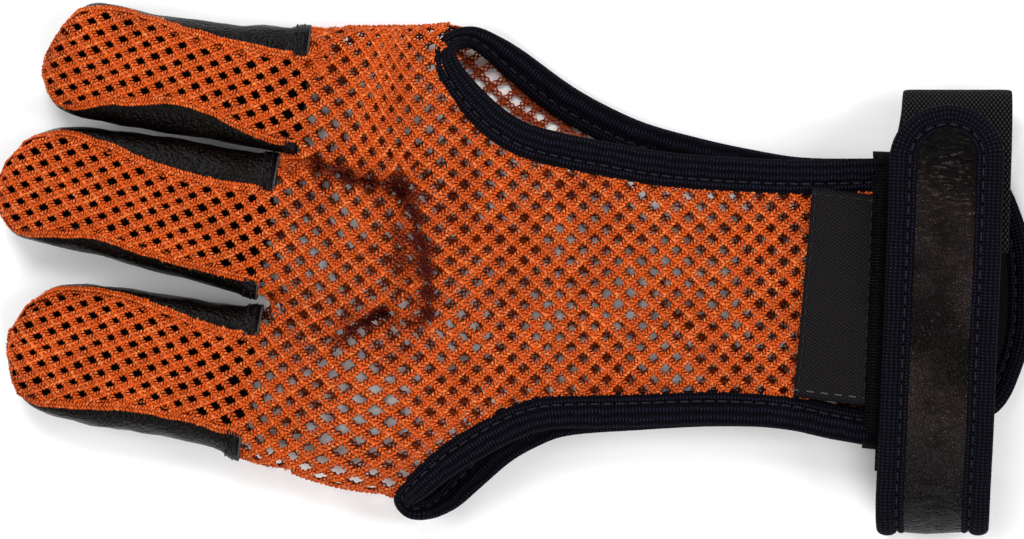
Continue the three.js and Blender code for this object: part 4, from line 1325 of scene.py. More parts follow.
def strap_finish(colour):
    f = Finish("Strap leather")
    spot = f.place()
    tall = f.add("ShaderNodeSeparateXYZ", {0: spot}, output=1)
    near_tip = tall.between(0.004, 0.024)
    # Where the painted shade under the binding's roll at the strap's tip falls
    under_edge = tall.between(0.024, 0.031)
    wave = f.noise(380, 2.0, 0.5, f.place((0.32, 1, 0.6), (0, 0, 0.12)))
    wrinkle = f.noise(1150, 3.0, 0.55, f.place((0.24, 0.75, 0.5), (0, 0, 0.1)))
    cross = f.noise(850, 2.0, 0.5, f.place((0.5, 1, 1), (0, 0, -0.7)))
    grain = f.cells(1500, feature="DISTANCE_TO_EDGE")
    broad = f.noise(75, 3.0)
    line = ((wrinkle - 0.5).size() * 7).clamped()
    split = ((cross - 0.5).size() * 8).clamped()
    cell = (grain * 3.2).clamped()
    low_end = tall.between(-0.052, -0.03)
    tone = f.blend(broad.between(0.4, 0.62), shade(colour, 0.3), shade(colour, 1.9))
    tone = f.blend(low_end, shade(colour, 0.25), tone)
    # Painted shade in the wrinkle creases, heavier near the tip, painted highlights on the wrinkle ridges
    # near the tip, and painted shade in the crossing creases
    tone = f.blend((1 - line) * (near_tip * 0.8 + 0.15), tone, shade(colour, 0.04))
    tone = f.blend(line.between(0.75, 1.0) * near_tip * 0.5, tone, shade(colour, 5.5))
    tone = f.blend((1 - split) * 0.5, tone, shade(colour, 0.1))
    tone = f.blend((1 - cell) * 0.75, tone, shade(colour, 0.08))
    # Painted shade under the binding's roll at the strap's tip
    tone = f.blend(under_edge, tone, shade(colour, 0.06))
    rugged = line * (near_tip * 1.6 + 0.3) + split * 0.5 + cell * 0.5 + wave * (near_tip * 4 + 1.4)
    f.bump(rugged, 0.0012, 1.0)
    f.shader.inputs["Specular IOR Level"].default_value = 0.22
    return f.wear(Base_Color=tone, Roughness=broad * 0.24 + 0.14)


def knit_finish(colour, rib_pitch):
    f = Finish("Ribbed knit")
    along, round_it = f.run()
    wander = f.noise(300, 2.0)
    rib = (along * (math.tau / rib_pitch) + wander * 2.4).sin()
    loop = (round_it * (math.tau / 0.0011) + rib * 0.8 + wander * 5).sin()
    fuzz = f.noise(2600, 3.0, 0.65)
    lit = (rib * 0.5 + 0.5).clamped() * (loop * 0.5 + 0.5).clamped()
    # Painted light on the crests of the ribs and loops, painted shade between them, and painted highlight
    # flecks on the crests
    tone = f.blend(lit ** 0.8, shade(colour, 0.2), shade(colour, 2.2))
    tone = f.blend((lit * fuzz * 3 - 1.15).clamped(), tone, shade(colour, 11))
    f.bump(rib * 0.8 + loop * 0.3 + fuzz * 1.1, 0.00018, 0.9)
    f.shader.inputs["Specular IOR Level"].default_value = 0.04
    return f.wear(Base_Color=tone, Roughness=fuzz * 0.2 + 0.65)


def webbing_finish(colour, name="Ribbed webbing"):
    """Wide weft bars across narrow columns, as on the band over the wrist."""
    f = Finish(name)
    along, round_it = f.run()
    fuzz = f.noise(2400, 2.0)
    column = (round_it * (math.tau / 0.0021)).sin()
    bar = (along * (math.tau / 0.00072) + column * 0.7 + fuzz * 0.8).sin()
    lit = bar.between(-0.1, 0.9)
    # Painted light on the bars, painted shade between them and in the grooves between the columns, and
    # painted highlight flecks on the bars
    tone = f.blend(lit, shade(colour, 0.1), shade(colour, 3))
    tone = f.blend(column.between(-1.0, -0.55), tone, shade(colour, 0.3))
    tone = f.blend((lit * fuzz * 2.6 - 1.1).clamped(), tone, shade(colour, 8))
    f.bump(bar * 0.9 + column * 0.6 + fuzz * 0.4, 0.00018, 0.9)
    f.shader.inputs["Specular IOR Level"].default_value = 0.03
    return f.wear(Base_Color=tone, Roughness=fuzz * 0.2 + 0.58)


def plain_weave_finish(colour, name="Loop webbing"):
    """Rows of small beads, each row shifted by half a bead."""
    f = Finish(name)
    along, round_it = f.run()
    fuzz = f.noise(2400, 2.0)
    across = round_it * (math.tau / 0.002)
    down = along * (math.tau / 0.0029)
    bead = (across.sin() * down.sin()).size()
    shifted = ((across + math.pi / 2).sin() * (down + math.pi / 2).sin()).size()
    bead = bead.most(shifted)
    lit = bead.between(0.6, 0.98)
    # Painted light on the bead tops, painted shade between them, and painted highlight flecks on the tops
    tone = f.blend(lit, shade(colour, 0.1), shade(colour, 10))
    tone = f.blend((lit * fuzz * 2.6 - 1.05).clamped(), tone, shade(colour, 22))
    f.bump(bead * 1.6 + fuzz * 0.3, 0.00022, 0.9)
    f.shader.inputs["Specular IOR Level"].default_value = 0.04
    return f.wear(Base_Color=tone, Roughness=fuzz * 0.2 + 0.55)


def twill_finish(colour, name="Label twill"):
    f = Finish(name)
    spot = f.place((1, 1, 0), (0, 0, 0.55))
    x = f.add("ShaderNodeSeparateXYZ", {0: spot}, output=0)
    y = f.add("ShaderNodeSeparateXYZ", {0: spot}, output=1)
    wale = (x * (math.tau / 0.00056)).sin()
    pick = (y * (math.tau / 0.00066) + wale * 0.6).sin()
    broad = f.noise(120, 2.0)
    fuzz = f.noise(2600, 2.0)
    lit = (wale * 0.5 + 0.5).clamped() * (pick * 0.4 + 0.6).clamped()
    # Painted light on the wales, painted shade between them, and painted highlight flecks; the broad tone
    # varies at random
    tone = f.blend(lit, shade(colour, 0.15), shade(colour, 3.4))
    tone = f.blend(broad.between(0.4, 0.8) * 0.2, tone, shade(colour, 2.2))
    tone = f.blend((lit * fuzz * 2.6 - 1.1).clamped(), tone, shade(colour, 8))
    f.bump(wale + pick * 0.4, 0.00008, 0.9)
    f.shader.inputs["Specular IOR Level"].default_value = 0.04
    return f.wear(Base_Color=tone, Roughness=0.6 + broad * 0.1)


def thread_finish(name, colour):
    f = Finish(name)
    ply = f.noise(3000, 2.0)
    f.bump(ply, 0.00008, 0.6)
    f.shader.inputs["Specular IOR Level"].default_value = 0.2
    return f.wear(
        Base_Color=f.blend(ply, shade(colour, 0.7), shade(colour, 1.2)), Roughness=ply * 0.2 + 0.5
    )


def edge_finish(colour, name="Raw leather edge"):
    f = Finish(name)
    nap = f.noise(1800, 4.0, 0.7)
    f.bump(nap, 0.0002, 0.7)
    f.shader.inputs["Specular IOR Level"].default_value = 0.15
    return f.wear(
        Base_Color=f.blend(nap.between(0.3, 0.7), shade(colour, 0.35), shade(colour, 1.2)),
        Roughness=nap * 0.1 + 0.8,
    )


def floor_finish(colour):
    f = Finish("Pale floor")
    speck = f.noise(40, 2.0)
    return f.wear(
        Base_Color=f.blend(speck, shade(colour, 0.985), tuple(colour[:3])),
        Roughness=speck * 0.05 + 0.7,
    )


# Settings


def colour_prop(name, description, default):
    return bpy.props.FloatVectorProperty(
        name=name, description=description, subtype="COLOR", size=3, min=0, max=1, default=default
    )


def length_prop(name, description, default):
    return bpy.props.FloatProperty(
        name=name, description=description, unit="LENGTH", default=default, min=0, precision=5
    )


class NetSettings(bpy.types.PropertyGroup):
    """Sizes and colours of the knitted net"""

    yarn_radius: length_prop("Yarn radius", "Radius of one yarn of the braid", 0.00032)
    braid_spread: length_prop("Braid spread", "How far the yarns sway to each side", 0.00077)
    braid_depth: length_prop("Braid depth", "How far the yarns pass over and under", 0.00024)
    colour: colour_prop("Yarn colour", "Colour of the yarn where light reaches it", (0.97, 0.135, 0.009))
    # Painted shade of the yarn between its plaits and in the creases
    yarn_shade: colour_prop("Yarn depth", "Colour of the yarn between its plaits", (0.06, 0.003, 0.0006))


class LeatherSettings(bpy.types.PropertyGroup):
    """Colours of the leather pieces"""

    stall: colour_prop("Stall leather", "Colour of the finger stalls", (0.0042, 0.0023, 0.0018))
    strap: colour_prop("Strap leather", "Colour of the wrist strap", (0.034, 0.0225, 0.021))
    edge: colour_prop("Raw edge", "Colour of the cut edges of the stalls", (0.05, 0.053, 0.062))


class TrimSettings(bpy.types.PropertyGroup):
    """Sizes and colours of bindings, webbing, label and stitches"""

    knit: colour_prop("Binding", "Colour of the ribbed knit bindings", (0.0033, 0.003, 0.0062))
    webbing: colour_prop("Webbing", "Colour of the webbing", (0.0026, 0.0023, 0.0025))
    label: colour_prop("Label", "Colour of the bare woven label", (0.0068, 0.0058, 0.0066))
    thread: colour_prop("Thread", "Colour of the dark stitches", (0.0055, 0.0055, 0.009))
    rib_pitch: length_prop("Rib pitch", "From rib to rib along a binding", 0.00078)
    stitch_pitch: length_prop("Stitch pitch", "From stitch to stitch", 0.0029)


# The camera's view: width in metres at a level over the floor, and the place that it looks down on
VIEW_WIDTH = 1024 * 0.00023
VIEW_LEVEL = 0.008
VIEW_CENTRE = (-0.00014, -0.00025)


class StageSettings(bpy.types.PropertyGroup):
    """The floor, the lamps and the camera"""

    floor: colour_prop("Floor", "Colour of the floor", (0.93, 0.93, 0.93))
    camera_height: length_prop("Camera height", "How high the camera stands", 2.2)
    key_power: bpy.props.FloatProperty(
        name="Key lamp", description="Power of the large lamp", unit="POWER", default=14.0, min=0
    )
    sky: bpy.props.FloatProperty(name="Sky", description="Strength of the soft sky", default=0.32, min=0)


# Wrist layout

WRIST_EDGE = 0.972 * HAND_LENGTH + GAP
WRIST_CENTRE, _, WRIST_RISE = hand_at(1)
WRIST_MIDDLE = WRIST_CENTRE * HAND_WIDTH
STRAP_X = WRIST_EDGE + WEBBING_WIDTH / 2 + GAP + STRAP_SET_BACK
STRAP_TOP = WRIST_MIDDLE + STRAP_LENGTH / 2 - STRAP_DROP
STRAP_FOOT = STRAP_TOP - STRAP_LENGTH
CROWN_TOP = WRIST_RISE * HAND_HEIGHT + GAP + WEBBING_THICKNESS
ELASTIC_LAYER = GAP + WEBBING_THICKNESS / 2
HOOK_LAYER = ELASTIC_LAYER + WEBBING_THICKNESS / 2 + GAP + HOOK_THICKNESS / 2
STRAP_HIGH = max(
    HOOK_LAYER + HOOK_THICKNESS / 2 + GAP + STRAP_THICKNESS / 2,
    ELASTIC_LAYER + WEBBING_THICKNESS / 2 + GAP + BINDING_THICKNESS / 2,
)
STRAP_LOW = GAP + BINDING_THICKNESS / 2
STRAP_SIDE = (STRAP_WIDTH - STRAP_BINDING_WIDTH) / 2
SEAM_Y = STRAP_FOOT + STRAP_HEM
LOOP_SIDE = WRIST_MIDDLE + LOOP_REACH
ELASTIC_END = STRAP_TOP - HOOK_LENGTH - 10
ELASTIC_MOUTH = ELASTIC_END - 4


def over_crown(y, distance):
    """A point at a distance off the arch that the wrist loop makes over the webbing."""

    def height(at):
        share = min(abs(at - WRIST_MIDDLE) / CROWN_HALF, 1)
        return HAND_SEAM + (CROWN_TOP - HAND_SEAM) * (1 - share**TOP_POWER) ** (1 / TOP_POWER)

    step = 0.5
    slope = (height(y + step) - height(y - step)) / (2 * step)
    length = math.hypot(1, slope)
    return (0, y - distance * slope / length, height(y) + distance / length)


ELASTIC_POINTS = [
    *(
        over_crown(ELASTIC_END + (LOOP_SIDE - 12 - ELASTIC_END) * share, ELASTIC_LAYER)
        for share in (0, 0.4, 0.8, 1)
    ),
    *((0, LOOP_SIDE - inward, rise * CROWN_TOP) for inward, rise in ELASTIC_TURN),
    *(
        (0, y, WEBBING_THICKNESS / 2)
        for y in (LOOP_SIDE - 15, LOOP_SIDE - 20, WRIST_MIDDLE, SEAM_Y + 6, SEAM_Y + GAP)
    ),
]
STRAP_POINTS = [
    *(over_crown(y, STRAP_HIGH) for y in (STRAP_TOP, STRAP_TOP - 9, STRAP_TOP - 18, ELASTIC_MOUTH)),
    over_crown(ELASTIC_MOUTH - 14, STRAP_LOW + GAP),
    over_crown(WRIST_MIDDLE - 16, STRAP_LOW),
    over_crown(WRIST_MIDDLE - 28, STRAP_LOW),
    *((0, STRAP_FOOT + inward, rise * CROWN_TOP) for inward, rise in STRAP_TURN),
    (0, STRAP_FOOT + 9, BINDING_THICKNESS / 2),
    (0, SEAM_Y, BINDING_THICKNESS / 2),
]
strap_line, strap_run = even_curve(STRAP_POINTS)
elastic_line, elastic_run = even_curve(ELASTIC_POINTS)


def upright(line):
    """Direction that a loop round the wrist faces, along its line."""
    forward = np.gradient(line, axis=0)
    forward /= np.linalg.norm(forward, axis=1)[:, None]
    return np.stack([0 * forward[:, 0], forward[:, 2], -forward[:, 1]], axis=1)


# The strap's lower turn tucks in under its top: below which height, over how much, and how far
UNDER_FROM, UNDER_FADE = 14, 12
UNDER_SHIFT, UNDER_NARROW = 0.9, 0.05
# The strap's binding against its CAD band: further out, and wider
STRAP_EDGE_OUT, STRAP_EDGE_WIDER = 0.35, 1.1
# The loop's underside tucks in under the strap: how far, where it starts and over what length
LOOP_TUCK, LOOP_TUCK_START, LOOP_TUCK_LENGTH = 3.0, 4, 24


def strap_spots(across, down):
    """Places on the strap, across it and down from its tip, with the way that they face."""
    length = strap_run[-1]
    lead = STRAP_BINDING_WIDTH / 2
    where = np.minimum((np.asarray(down) + lead) / (length + lead), 1) * length
    ups = along_curve(upright(strap_line), strap_run, where)
    spots = along_curve(strap_line, strap_run, where)
    under = np.clip((UNDER_FROM - spots[:, 2]) / UNDER_FADE, 0, 1)
    spots[:, 0] = STRAP_X + UNDER_SHIFT * under + STRAP_SLANT * (spots[:, 1] - WRIST_MIDDLE)
    spots[:, 0] += np.asarray(across) * (1 - UNDER_NARROW * under)
    return spots, ups / np.linalg.norm(ups, axis=1)[:, None]


def strap_edge():
    """Path of the strap's binding: up one side, round the tip and down the other."""
    length = strap_run[-1]
    side = STRAP_SIDE + STRAP_EDGE_OUT
    run = np.linspace(length, STRAP_SIDE, 90)[:-1]
    turn = np.linspace(0, math.pi, 28)
    across = np.concatenate([-side + 0 * run, -side * np.cos(turn), side + 0 * run])
    down = np.concatenate([run, STRAP_SIDE * (1 - np.sin(turn)), run[::-1]])
    return strap_spots(across, down)


def rolls_of(turns):
    """Sections of the two rolls, each mirrored from one to minus one."""
    plain = profile_points(ROLLS, 3)
    count = len(plain)
    other = (plain * [-1, 1])[(np.argmin(plain[:, 0]) * 2 - np.arange(count)) % count]
    start = int(np.argmin(plain[:, 0]))
    other = np.roll(other, start - int(np.argmin(other[:, 0])), axis=0)
    share = (1 - np.asarray(turns)[:, None, None]) / 2
    return plain[None] * (1 - share) + other[None] * share


def section_line(places, ups, widths, heights, across, up):
    """The line that one point of a swept section draws, and the way that it faces."""
    across = np.broadcast_to(across, len(places))
    spot = np.stack([np.c_[across, 0 * across + up], np.c_[across, 0 * across + up + 0.01]], 1)
    lines = sweep_rings(places, ups, widths, heights, spot)
    lift = lines[:, 1] - lines[:, 0]
    return lines[:, 0], lift / np.linalg.norm(lift, axis=1)[:, None]


# No piece lies lower than this, in metres
LOWEST = 0.00005


def dress(piece, slot, material, *nodes):
    """Gives a piece its material and body, and hides the CAD nodes that it stands for; the slot is not
    used.
    """
    places = np.empty(3 * len(piece.data.vertices), np.float32)
    piece.data.vertices.foreach_get("co", places)
    places[2::3] = np.maximum(places[2::3], LOWEST)
    piece.data.vertices.foreach_set("co", places)
    if material is not None:
        piece.data.materials.clear()
        piece.data.materials.append(material)
    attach(piece, "root")
    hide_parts(*nodes)
    return piece


def groove_stitches(name, paths, lifts, material, settings, length=0.0019, radius=0.00026):
    """A row of stitches along each path."""
    source = path_object(name + "_path", paths, lifts)
    return grown(
        source,
        stitch_tree(),
        name,
        material,
        Stitch_Length=length,
        Stitch_Pitch=settings.stitch_pitch,
        Thread_Radius=radius,
        Bow=radius * 0.8,
    )


# Walls of the pieces that are made as open surfaces
LABEL_WALL, WEBBING_WALL, STALL_WALL = 0.8, 1.2, 1.1


def seal(piece, wall):
    """Gives an open surface its wall, inwards from its outer face."""
    wall_maker = piece.modifiers.new("wall", "SOLIDIFY")
    wall_maker.thickness = wall * MM
    wall_maker.offset = -1
    wall_maker.use_even_offset = False
    return piece


def face_away(piece, rings, drop=0.0):
    """Turns an open surface's faces away from the middles of its rings."""
    mesh = piece.data
    centres = to_frame(np.asarray(rings).mean(1) - np.array([0, 0, drop]))
    count = len(rings[0])
    total = 0.0
    for face in mesh.polygons:
        row = min(face.vertices[0] // count, len(centres) - 1)
        total += (np.array(face.center) - centres[row]) @ np.array(face.normal) * face.area
    if total < 0:
        mesh.flip_normals()
    return piece


# Finger pieces


def finger_edge(finger, share, sign, proud=0.0):
    """Place and facing of the net strip's edge on a finger."""
    wide, tall, sway, net, drift = finger.row(share)
    half = finger.half * wide - NET_WALL / 2
    ratio = min(max(drift + sign * net, -1), 1)
    size = min(abs(ratio), 0.995)
    top = tall * FINGER_HEIGHT - NET_WALL / 2
    fall = (1 - size**TOP_POWER) ** (1 / TOP_POWER)
    up = FINGER_SEAM + 0.4 + (top - FINGER_SEAM - 0.4) * fall
    slope = (top - FINGER_SEAM) / half * size ** (TOP_POWER - 1) * max(fall, 0.12) ** (1 - TOP_POWER)
    across = half * size * (1 if ratio >= 0 else -1)
    tilt = math.atan(slope)
    out = math.sin(tilt) * (1 if ratio >= 0 else -1)
    facing = np.array([*(finger.side * out), math.cos(tilt)])
    plan = finger.place(share * finger.length, finger.half * sway + across)
    up -= fall * fold_drop(*plan)
    return np.array([*plan, up]) + facing * proud, facing


FRAY_SCALE = 0.6


def frayed(line, reach, seed):
    """A line that wanders a little to each side, as the edge of a knitted net does."""
    out = np.array(line, float)
    for k, point in enumerate(out):
        for axis, level in ((0, seed), (1, seed + 9)):
            spot = Vector((point[0] * FRAY_SCALE, point[1] * FRAY_SCALE, level))
            out[k, axis] += reach * noise.noise(spot)
    return out


def net_border(finger, proud):
    """Path round a finger's net strip, up one side and down the other."""
    shares = np.linspace(finger.hem, 1, 70)
    one = [finger_edge(finger, s, 1, proud) for s in shares]
    other = [finger_edge(finger, s, -1, proud) for s in shares[::-1]]
    line = one + other
    return np.array([p for p, _ in line]), np.array([n for _, n in line])


def gusset_rows():
    """Short strands that close the net between the roots of the index and middle fingers."""
    rows = []
    for ends in GUSSET:
        line = [(x, y, min(max(hand_height(max(x, 0.5), y), 8.5), 11.0) - 0.9) for x, y in ends]
        rows += rope_rows(line, [(0, 0, 1)] * len(line), 3.6)
    return rows


def stall_rings(finger):
    """Outer skin of a leather stall as rings from its hem to its tip."""
    shares = np.concatenate([np.linspace(finger.hem, 0.8, 22), np.linspace(0.82, 1, 12)])
    rings = []
    for share in shares:
        wide, tall, sway, net, drift = finger.row(share)
        across, up = ring_side(finger.half * wide, FINGER_SEAM, tall * FINGER_HEIGHT, 0)
        run = np.concatenate([[0], np.cumsum(np.hypot(np.diff(across), np.diff(up)))])
        starts = []
        for sign in (1, -1):
            ratio = min(max(sign * drift + net, 0), 0.998) * finger.half * wide
            top_part = TURN_SIN >= 0
            starts.append(float(np.interp(ratio, across[top_part], run[top_part])))
        lean = 0.45 if share < finger.hem + 3.4 / finger.length else 0.0
        row = []
        count = 23
        for sign, begin in ((1, starts[0]), (-1, starts[1])):
            ways = np.linspace(begin - 1.1, run[-1], count)
            inset = np.where(np.arange(count) == 0, 1.25, np.where(np.arange(count) == 1, 0.35, 0.0))
            a = np.interp(ways, run, across)
            u = np.interp(ways, run, up)
            middle = np.array([0.0, FINGER_SEAM])
            shift = np.stack([a, u], 1) - middle
            size = np.linalg.norm(shift, axis=1)[:, None]
            at = np.stack([a, u], 1) - shift / size * (inset - lean)[:, None]
            at[:, 1] = np.maximum(at[:, 1], 0.0)
            side = [
                np.array([*finger.place(share * finger.length, finger.half * sway + sign * x), z])
                for x, z in at
            ]
            row.append(side if sign > 0 else side[::-1][1:])
        ring = row[0] + row[1]
        for k, point in enumerate(ring):
            if point[2] > FINGER_SEAM:
                point[2] -= (point[2] - FINGER_SEAM) / FINGER_HEIGHT * fold_drop(point[0], point[1])
        rings.append(np.array(ring))
    last = rings[-1]
    hub = last.mean(0)
    hub[2] = FINGER_SEAM * 0.62
    for size, out in ((0.8, 0.35), (0.5, 0.5), (0.08, 0.55)):
        ring = hub + (last - hub) * size
        ring[:, :2] += finger.forward * out
        rings.append(ring)
    return np.array(rings)


def creased(rings, seed, amount):
    """Leather's soft unevenness, moved towards or away from each ring's middle."""
    out = rings.copy()
    for r, ring in enumerate(rings):
        middle = ring.mean(0)
        for k, point in enumerate(ring):
            if point[2] < 1.0:
                continue
            away = point - middle
            away /= max(np.linalg.norm(away), 1e-6)
            n = noise.noise(Vector((point[0] * 0.16, point[1] * 0.3, point[2] * 0.3 + seed)))
            out[r, k] = point + away * (n * amount - amount * 0.6)
    return out


# Operators


class GLOVE_OT_back_net(bpy.types.Operator):
    """Braids the net over the back of the hand and the fingers"""

    bl_idname = "glove.back_net"
    bl_label = "Back net"

    def execute(self, context):
        s = context.scene.glove_net
        found = net_lattice(back_spot, (-52, -28), (34, 28), 0.28)
        rows = strands(back_spot, found)
        groups = {"net_index": [], "net_middle": [], "net_ring": []}
        names = ["net_index", "net_middle", "net_ring"]
        hand = {"net_knuckles": [], "net_hand_index_side": [], "net_hand_little_side": []}
        for row in rows:
            if row[5] >= 0:
                groups[names[row[5]]].append(row)
                continue
            middle = (row[0] + row[1]) / 2
            if middle[0] < 34:
                hand["net_knuckles"].append(row)
            elif middle[1] > 0:
                hand["net_hand_index_side"].append(row)
            else:
                hand["net_hand_little_side"].append(row)
        for finger, name in zip(FINGERS, names):
            line, ups = net_border(finger, 0.15)
            groups[name] += rope_rows(frayed(line, 0.75, 1.0), ups, 3.1)
            middle = np.array([*finger.place(0.5 * finger.length, 0), 9.0])
            inward = middle - line
            inward /= np.linalg.norm(inward, axis=1)[:, None]
            groups[name] += rope_rows(frayed(line + inward * 1.3, 0.9, 5.0), ups, 3.6)
        for side, reach, sign in ((thumb_path, 15.0, 1), (little_path, 3.0, -1)):
            start = np.array(side[:, 0]).min()
            xs = np.linspace(reach, start + 1, 40)
            line = []
            for x in xs:
                centre, half, _ = hand_at(x / HAND_LENGTH)
                line.append((x, (centre + sign * half) * HAND_WIDTH - sign * 0.5, HAND_SEAM))
            hand["net_knuckles"] += rope_rows(frayed(line, 0.5, 3.0), [(0, sign, 0.5)] * len(line), 3.4)
        hand["net_knuckles"] += gusset_rows()
        material = yarn_finish(tuple(s.colour), tuple(s.yarn_shade))
        tree = braid_tree()
        for name, some in {**groups, **hand}.items():
            source = strand_object(name + "_path", some)
            piece = grown(
                source,
                tree,
                name,
                material,
                Yarn_Radius=s.yarn_radius,
                Braid_Spread=s.braid_spread,
                Braid_Depth=s.braid_depth,
                Turns=1.5,
                Steps=13,
                Sides=3,
            )
            dress(piece, "net", None, "back_net")
        return {"FINISHED"}


class GLOVE_OT_palm_net(bpy.types.Operator):
    """Braids the net under the hand"""

    bl_idname = "glove.palm_net"
    bl_label = "Palm net"

    def execute(self, context):
        s = context.scene.glove_net
        found = net_lattice(palm_spot, (-24, -28), (34, 28), 0.24)
        rows = strands(palm_spot, found, -1)
        material = bpy.data.materials.get("Orange yarn") or yarn_finish(tuple(s.colour), tuple(s.yarn_shade))
        source = strand_object("net_palm_path", rows)
        piece = grown(
            source,
            braid_tree(),
            "net_palm",
            material,
            Yarn_Radius=s.yarn_radius * PALM_YARN,
            Braid_Spread=s.braid_spread,
            Braid_Depth=s.braid_depth,
            Turns=1.0,
            Steps=6,
            Sides=3,
        )
        dress(piece, "net", None, "palm_net")
        return {"FINISHED"}


class GLOVE_OT_stalls(bpy.types.Operator):
    """Makes the three leather finger stalls with their hems"""

    bl_idname = "glove.stalls"
    bl_label = "Finger stalls"

    def execute(self, context):
        s = context.scene.glove_leather
        trim = context.scene.glove_trim
        leather = stall_finish(tuple(s.stall))
        raw = edge_finish(tuple(s.edge))
        thread = thread_finish("Stall thread", tuple(trim.thread))
        for k, finger in enumerate(FINGERS):
            rings = stall_rings(finger)
            shaped = creased(rings, 3.1 * k, 0.45)
            shaped[:2] = rings[:2]
            node = f"{finger.name}_leather"
            piece = skin_mesh(f"stall_{finger.name}", shaped, closed_ring=False, caps=False)
            face_away(piece, shaped)
            seal(piece, STALL_WALL)
            dress(piece, "stall_leather", leather, node)
            first = rings[0][1:-1]
            lifts = first - first.mean(0)
            lifts /= np.linalg.norm(lifts, axis=1)[:, None]
            circle = np.array([(math.cos(a), math.sin(a)) for a in np.linspace(0, math.tau, 9)[:-1]])
            edge = sweep_rings(first - lifts * 0.5, lifts, 0.6, 1.0, circle * 0.55)
            rim = skin_mesh(f"stall_{finger.name}_raw_edge", edge)
            dress(rim, "stall_leather", raw, node)
            lines, ups = [], []
            for way in (1.3, 3.0):
                share = way / finger.length / ((0.8 - finger.hem) / 21)
                i = int(share)
                line = rings[i] * (1 - share + i) + rings[i + 1] * (share - i)
                lines.append(line[1:-1] - lifts * 0.12)
                ups.append(lifts)
            rows = groove_stitches(
                f"stall_{finger.name}_stitches", lines, ups, thread, trim, 0.0019, 0.0002
            )
            dress(rows, "stall_leather", None, node)
        return {"FINISHED"}


class GLOVE_OT_side_bindings(bpy.types.Operator):
    """Makes the ribbed bindings round the thumb and little finger openings"""

    bl_idname = "glove.side_bindings"
    bl_label = "Side bindings"

    def execute(self, context):
        trim = context.scene.glove_trim
        knit = knit_finish(tuple(trim.knit), trim.rib_pitch)
        thread = thread_finish("Binding thread", tuple(trim.thread))
        for name, path, wide, lifts, side in (
            ("thumb_binding", thumb_path, thumb_wide, thumb_lift, 1),
            ("little_side_binding", little_path, little_wide, little_lift, -1),
        ):
            ups = np.broadcast_to([0.0, 0, 1], path.shape)
            sizes = (BINDING_WIDTH * wide, BINDING_THICKNESS)
            turns = side * np.clip(lifts * 2 - 1, -1, 1)
            rings = sweep_rings(path, ups, *sizes, rolls_of(turns))
            piece = skin_mesh("knit_" + name, rings)
            dress(piece, "knit_binding", knit, name)
            line, lift = section_line(path, ups, *sizes, GROOVE[0] * turns, GROOVE[1])
            rows = groove_stitches("stitches_" + name, [line], [lift], thread, trim)
            dress(rows, "knit_binding", None, name)
        return {"FINISHED"}


class GLOVE_OT_label(bpy.types.Operator):
    """Lays the bare woven label on the wrist end of the back"""

    bl_idname = "glove.label"
    bl_label = "Label"

    def execute(self, context):
        trim = context.scene.glove_trim
        corners = np.array([(122.4, 19.2), (137.0, 17.4), (135.2, -30.9), (118.0, -28.9)])

        def spot(u, v, raise_by=0.0):
            low = corners[3] * (1 - u) + corners[2] * u
            high = corners[0] * (1 - u) + corners[1] * u
            x, y = low * (1 - v) + high * v
            edge = min(u, 1 - u, v * 3, 3 - v * 3)
            z = hand_height(x, y, True, 0) + GAP + LABEL_THICKNESS
            z += 0.25 * noise.noise(Vector((x * 0.18, y * 0.12, 4))) - 0.35 * max(0.06 - edge, 0) / 0.06
            return np.array([x, y, z + raise_by])

        vs, us = np.linspace(0, 1, 50), np.linspace(0, 1, 19)
        grid = np.array([[spot(u, v) for u in us] for v in vs])
        piece = skin_mesh("label", grid, closed_ring=False, caps=False)
        face_away(piece, grid, 30)
        seal(piece, LABEL_WALL)
        dress(piece, "label_weave", twill_finish(tuple(trim.label)), "label_patch")
        dark = [
            [spot(0.06, v, 0.03) for v in np.linspace(0.03, 0.97, 60)],
            [spot(0.94, v, 0.03) for v in np.linspace(0.03, 0.97, 60)],
            [spot(u, 0.97, 0.03) for u in np.linspace(0.06, 0.94, 24)],
        ]
        pale = [[spot(u, 0.035, 0.03) for u in np.linspace(0.03, 0.97, 24)]]
        for name, lines, colour in (
            ("label_stitches", dark, tuple(trim.thread)),
            ("label_pale_stitches", pale, (0.05, 0.05, 0.053)),
        ):
            thread = thread_finish(name.replace("_", " ").capitalize(), colour)
            rows = groove_stitches(
                name, lines, [(0, 0, 1)] * len(lines), thread, trim, 0.0016, 0.00019
            )
            dress(rows, "label_weave", None, "label_patch")
        return {"FINISHED"}


class GLOVE_OT_wrist_webbing(bpy.types.Operator):
    """Lays the ribbed webbing across the back of the wrist"""

    bl_idname = "glove.wrist_webbing"
    bl_label = "Wrist webbing"

    def execute(self, context):
        trim = context.scene.glove_trim
        middle = WRIST_EDGE + WEBBING_WIDTH / 2 + GAP
        rings = []
        for k in np.linspace(-1, 1, 70):
            row = []
            for u in np.linspace(-0.5, 0.5, 22):
                x = middle + u * WEBBING_WIDTH - 1.4 * max(-u - 0.4, 0) / 0.1
                centre, half, rise = hand_at(x / HAND_LENGTH)
                across, up = ring_side(
                    half * HAND_WIDTH, HAND_SEAM, rise * HAND_HEIGHT, -GAP - WEBBING_THICKNESS
                )
                side = TURN_SIN >= 0
                across, up = across[side], up[side]
                run = np.concatenate([[0], np.cumsum(np.hypot(np.diff(across), np.diff(up)))])
                way = abs(k) * run[-1]
                y = centre * HAND_WIDTH + math.copysign(np.interp(way, run, across), k)
                z = np.interp(way, run, up)
                x += STRAP_SLANT * (y - WRIST_MIDDLE)
                row.append((x, y, z + 0.12 * noise.noise(Vector((x * 0.1, y * 0.15, 1)))))
            rings.append(row)
        rings = np.array(rings)
        piece = skin_mesh("ribbed_webbing", rings, closed_ring=False, caps=False)
        face_away(piece, rings, 30)
        seal(piece, WEBBING_WALL)
        dress(piece, "webbing", webbing_finish(tuple(trim.webbing)), "wrist_webbing")
        return {"FINISHED"}


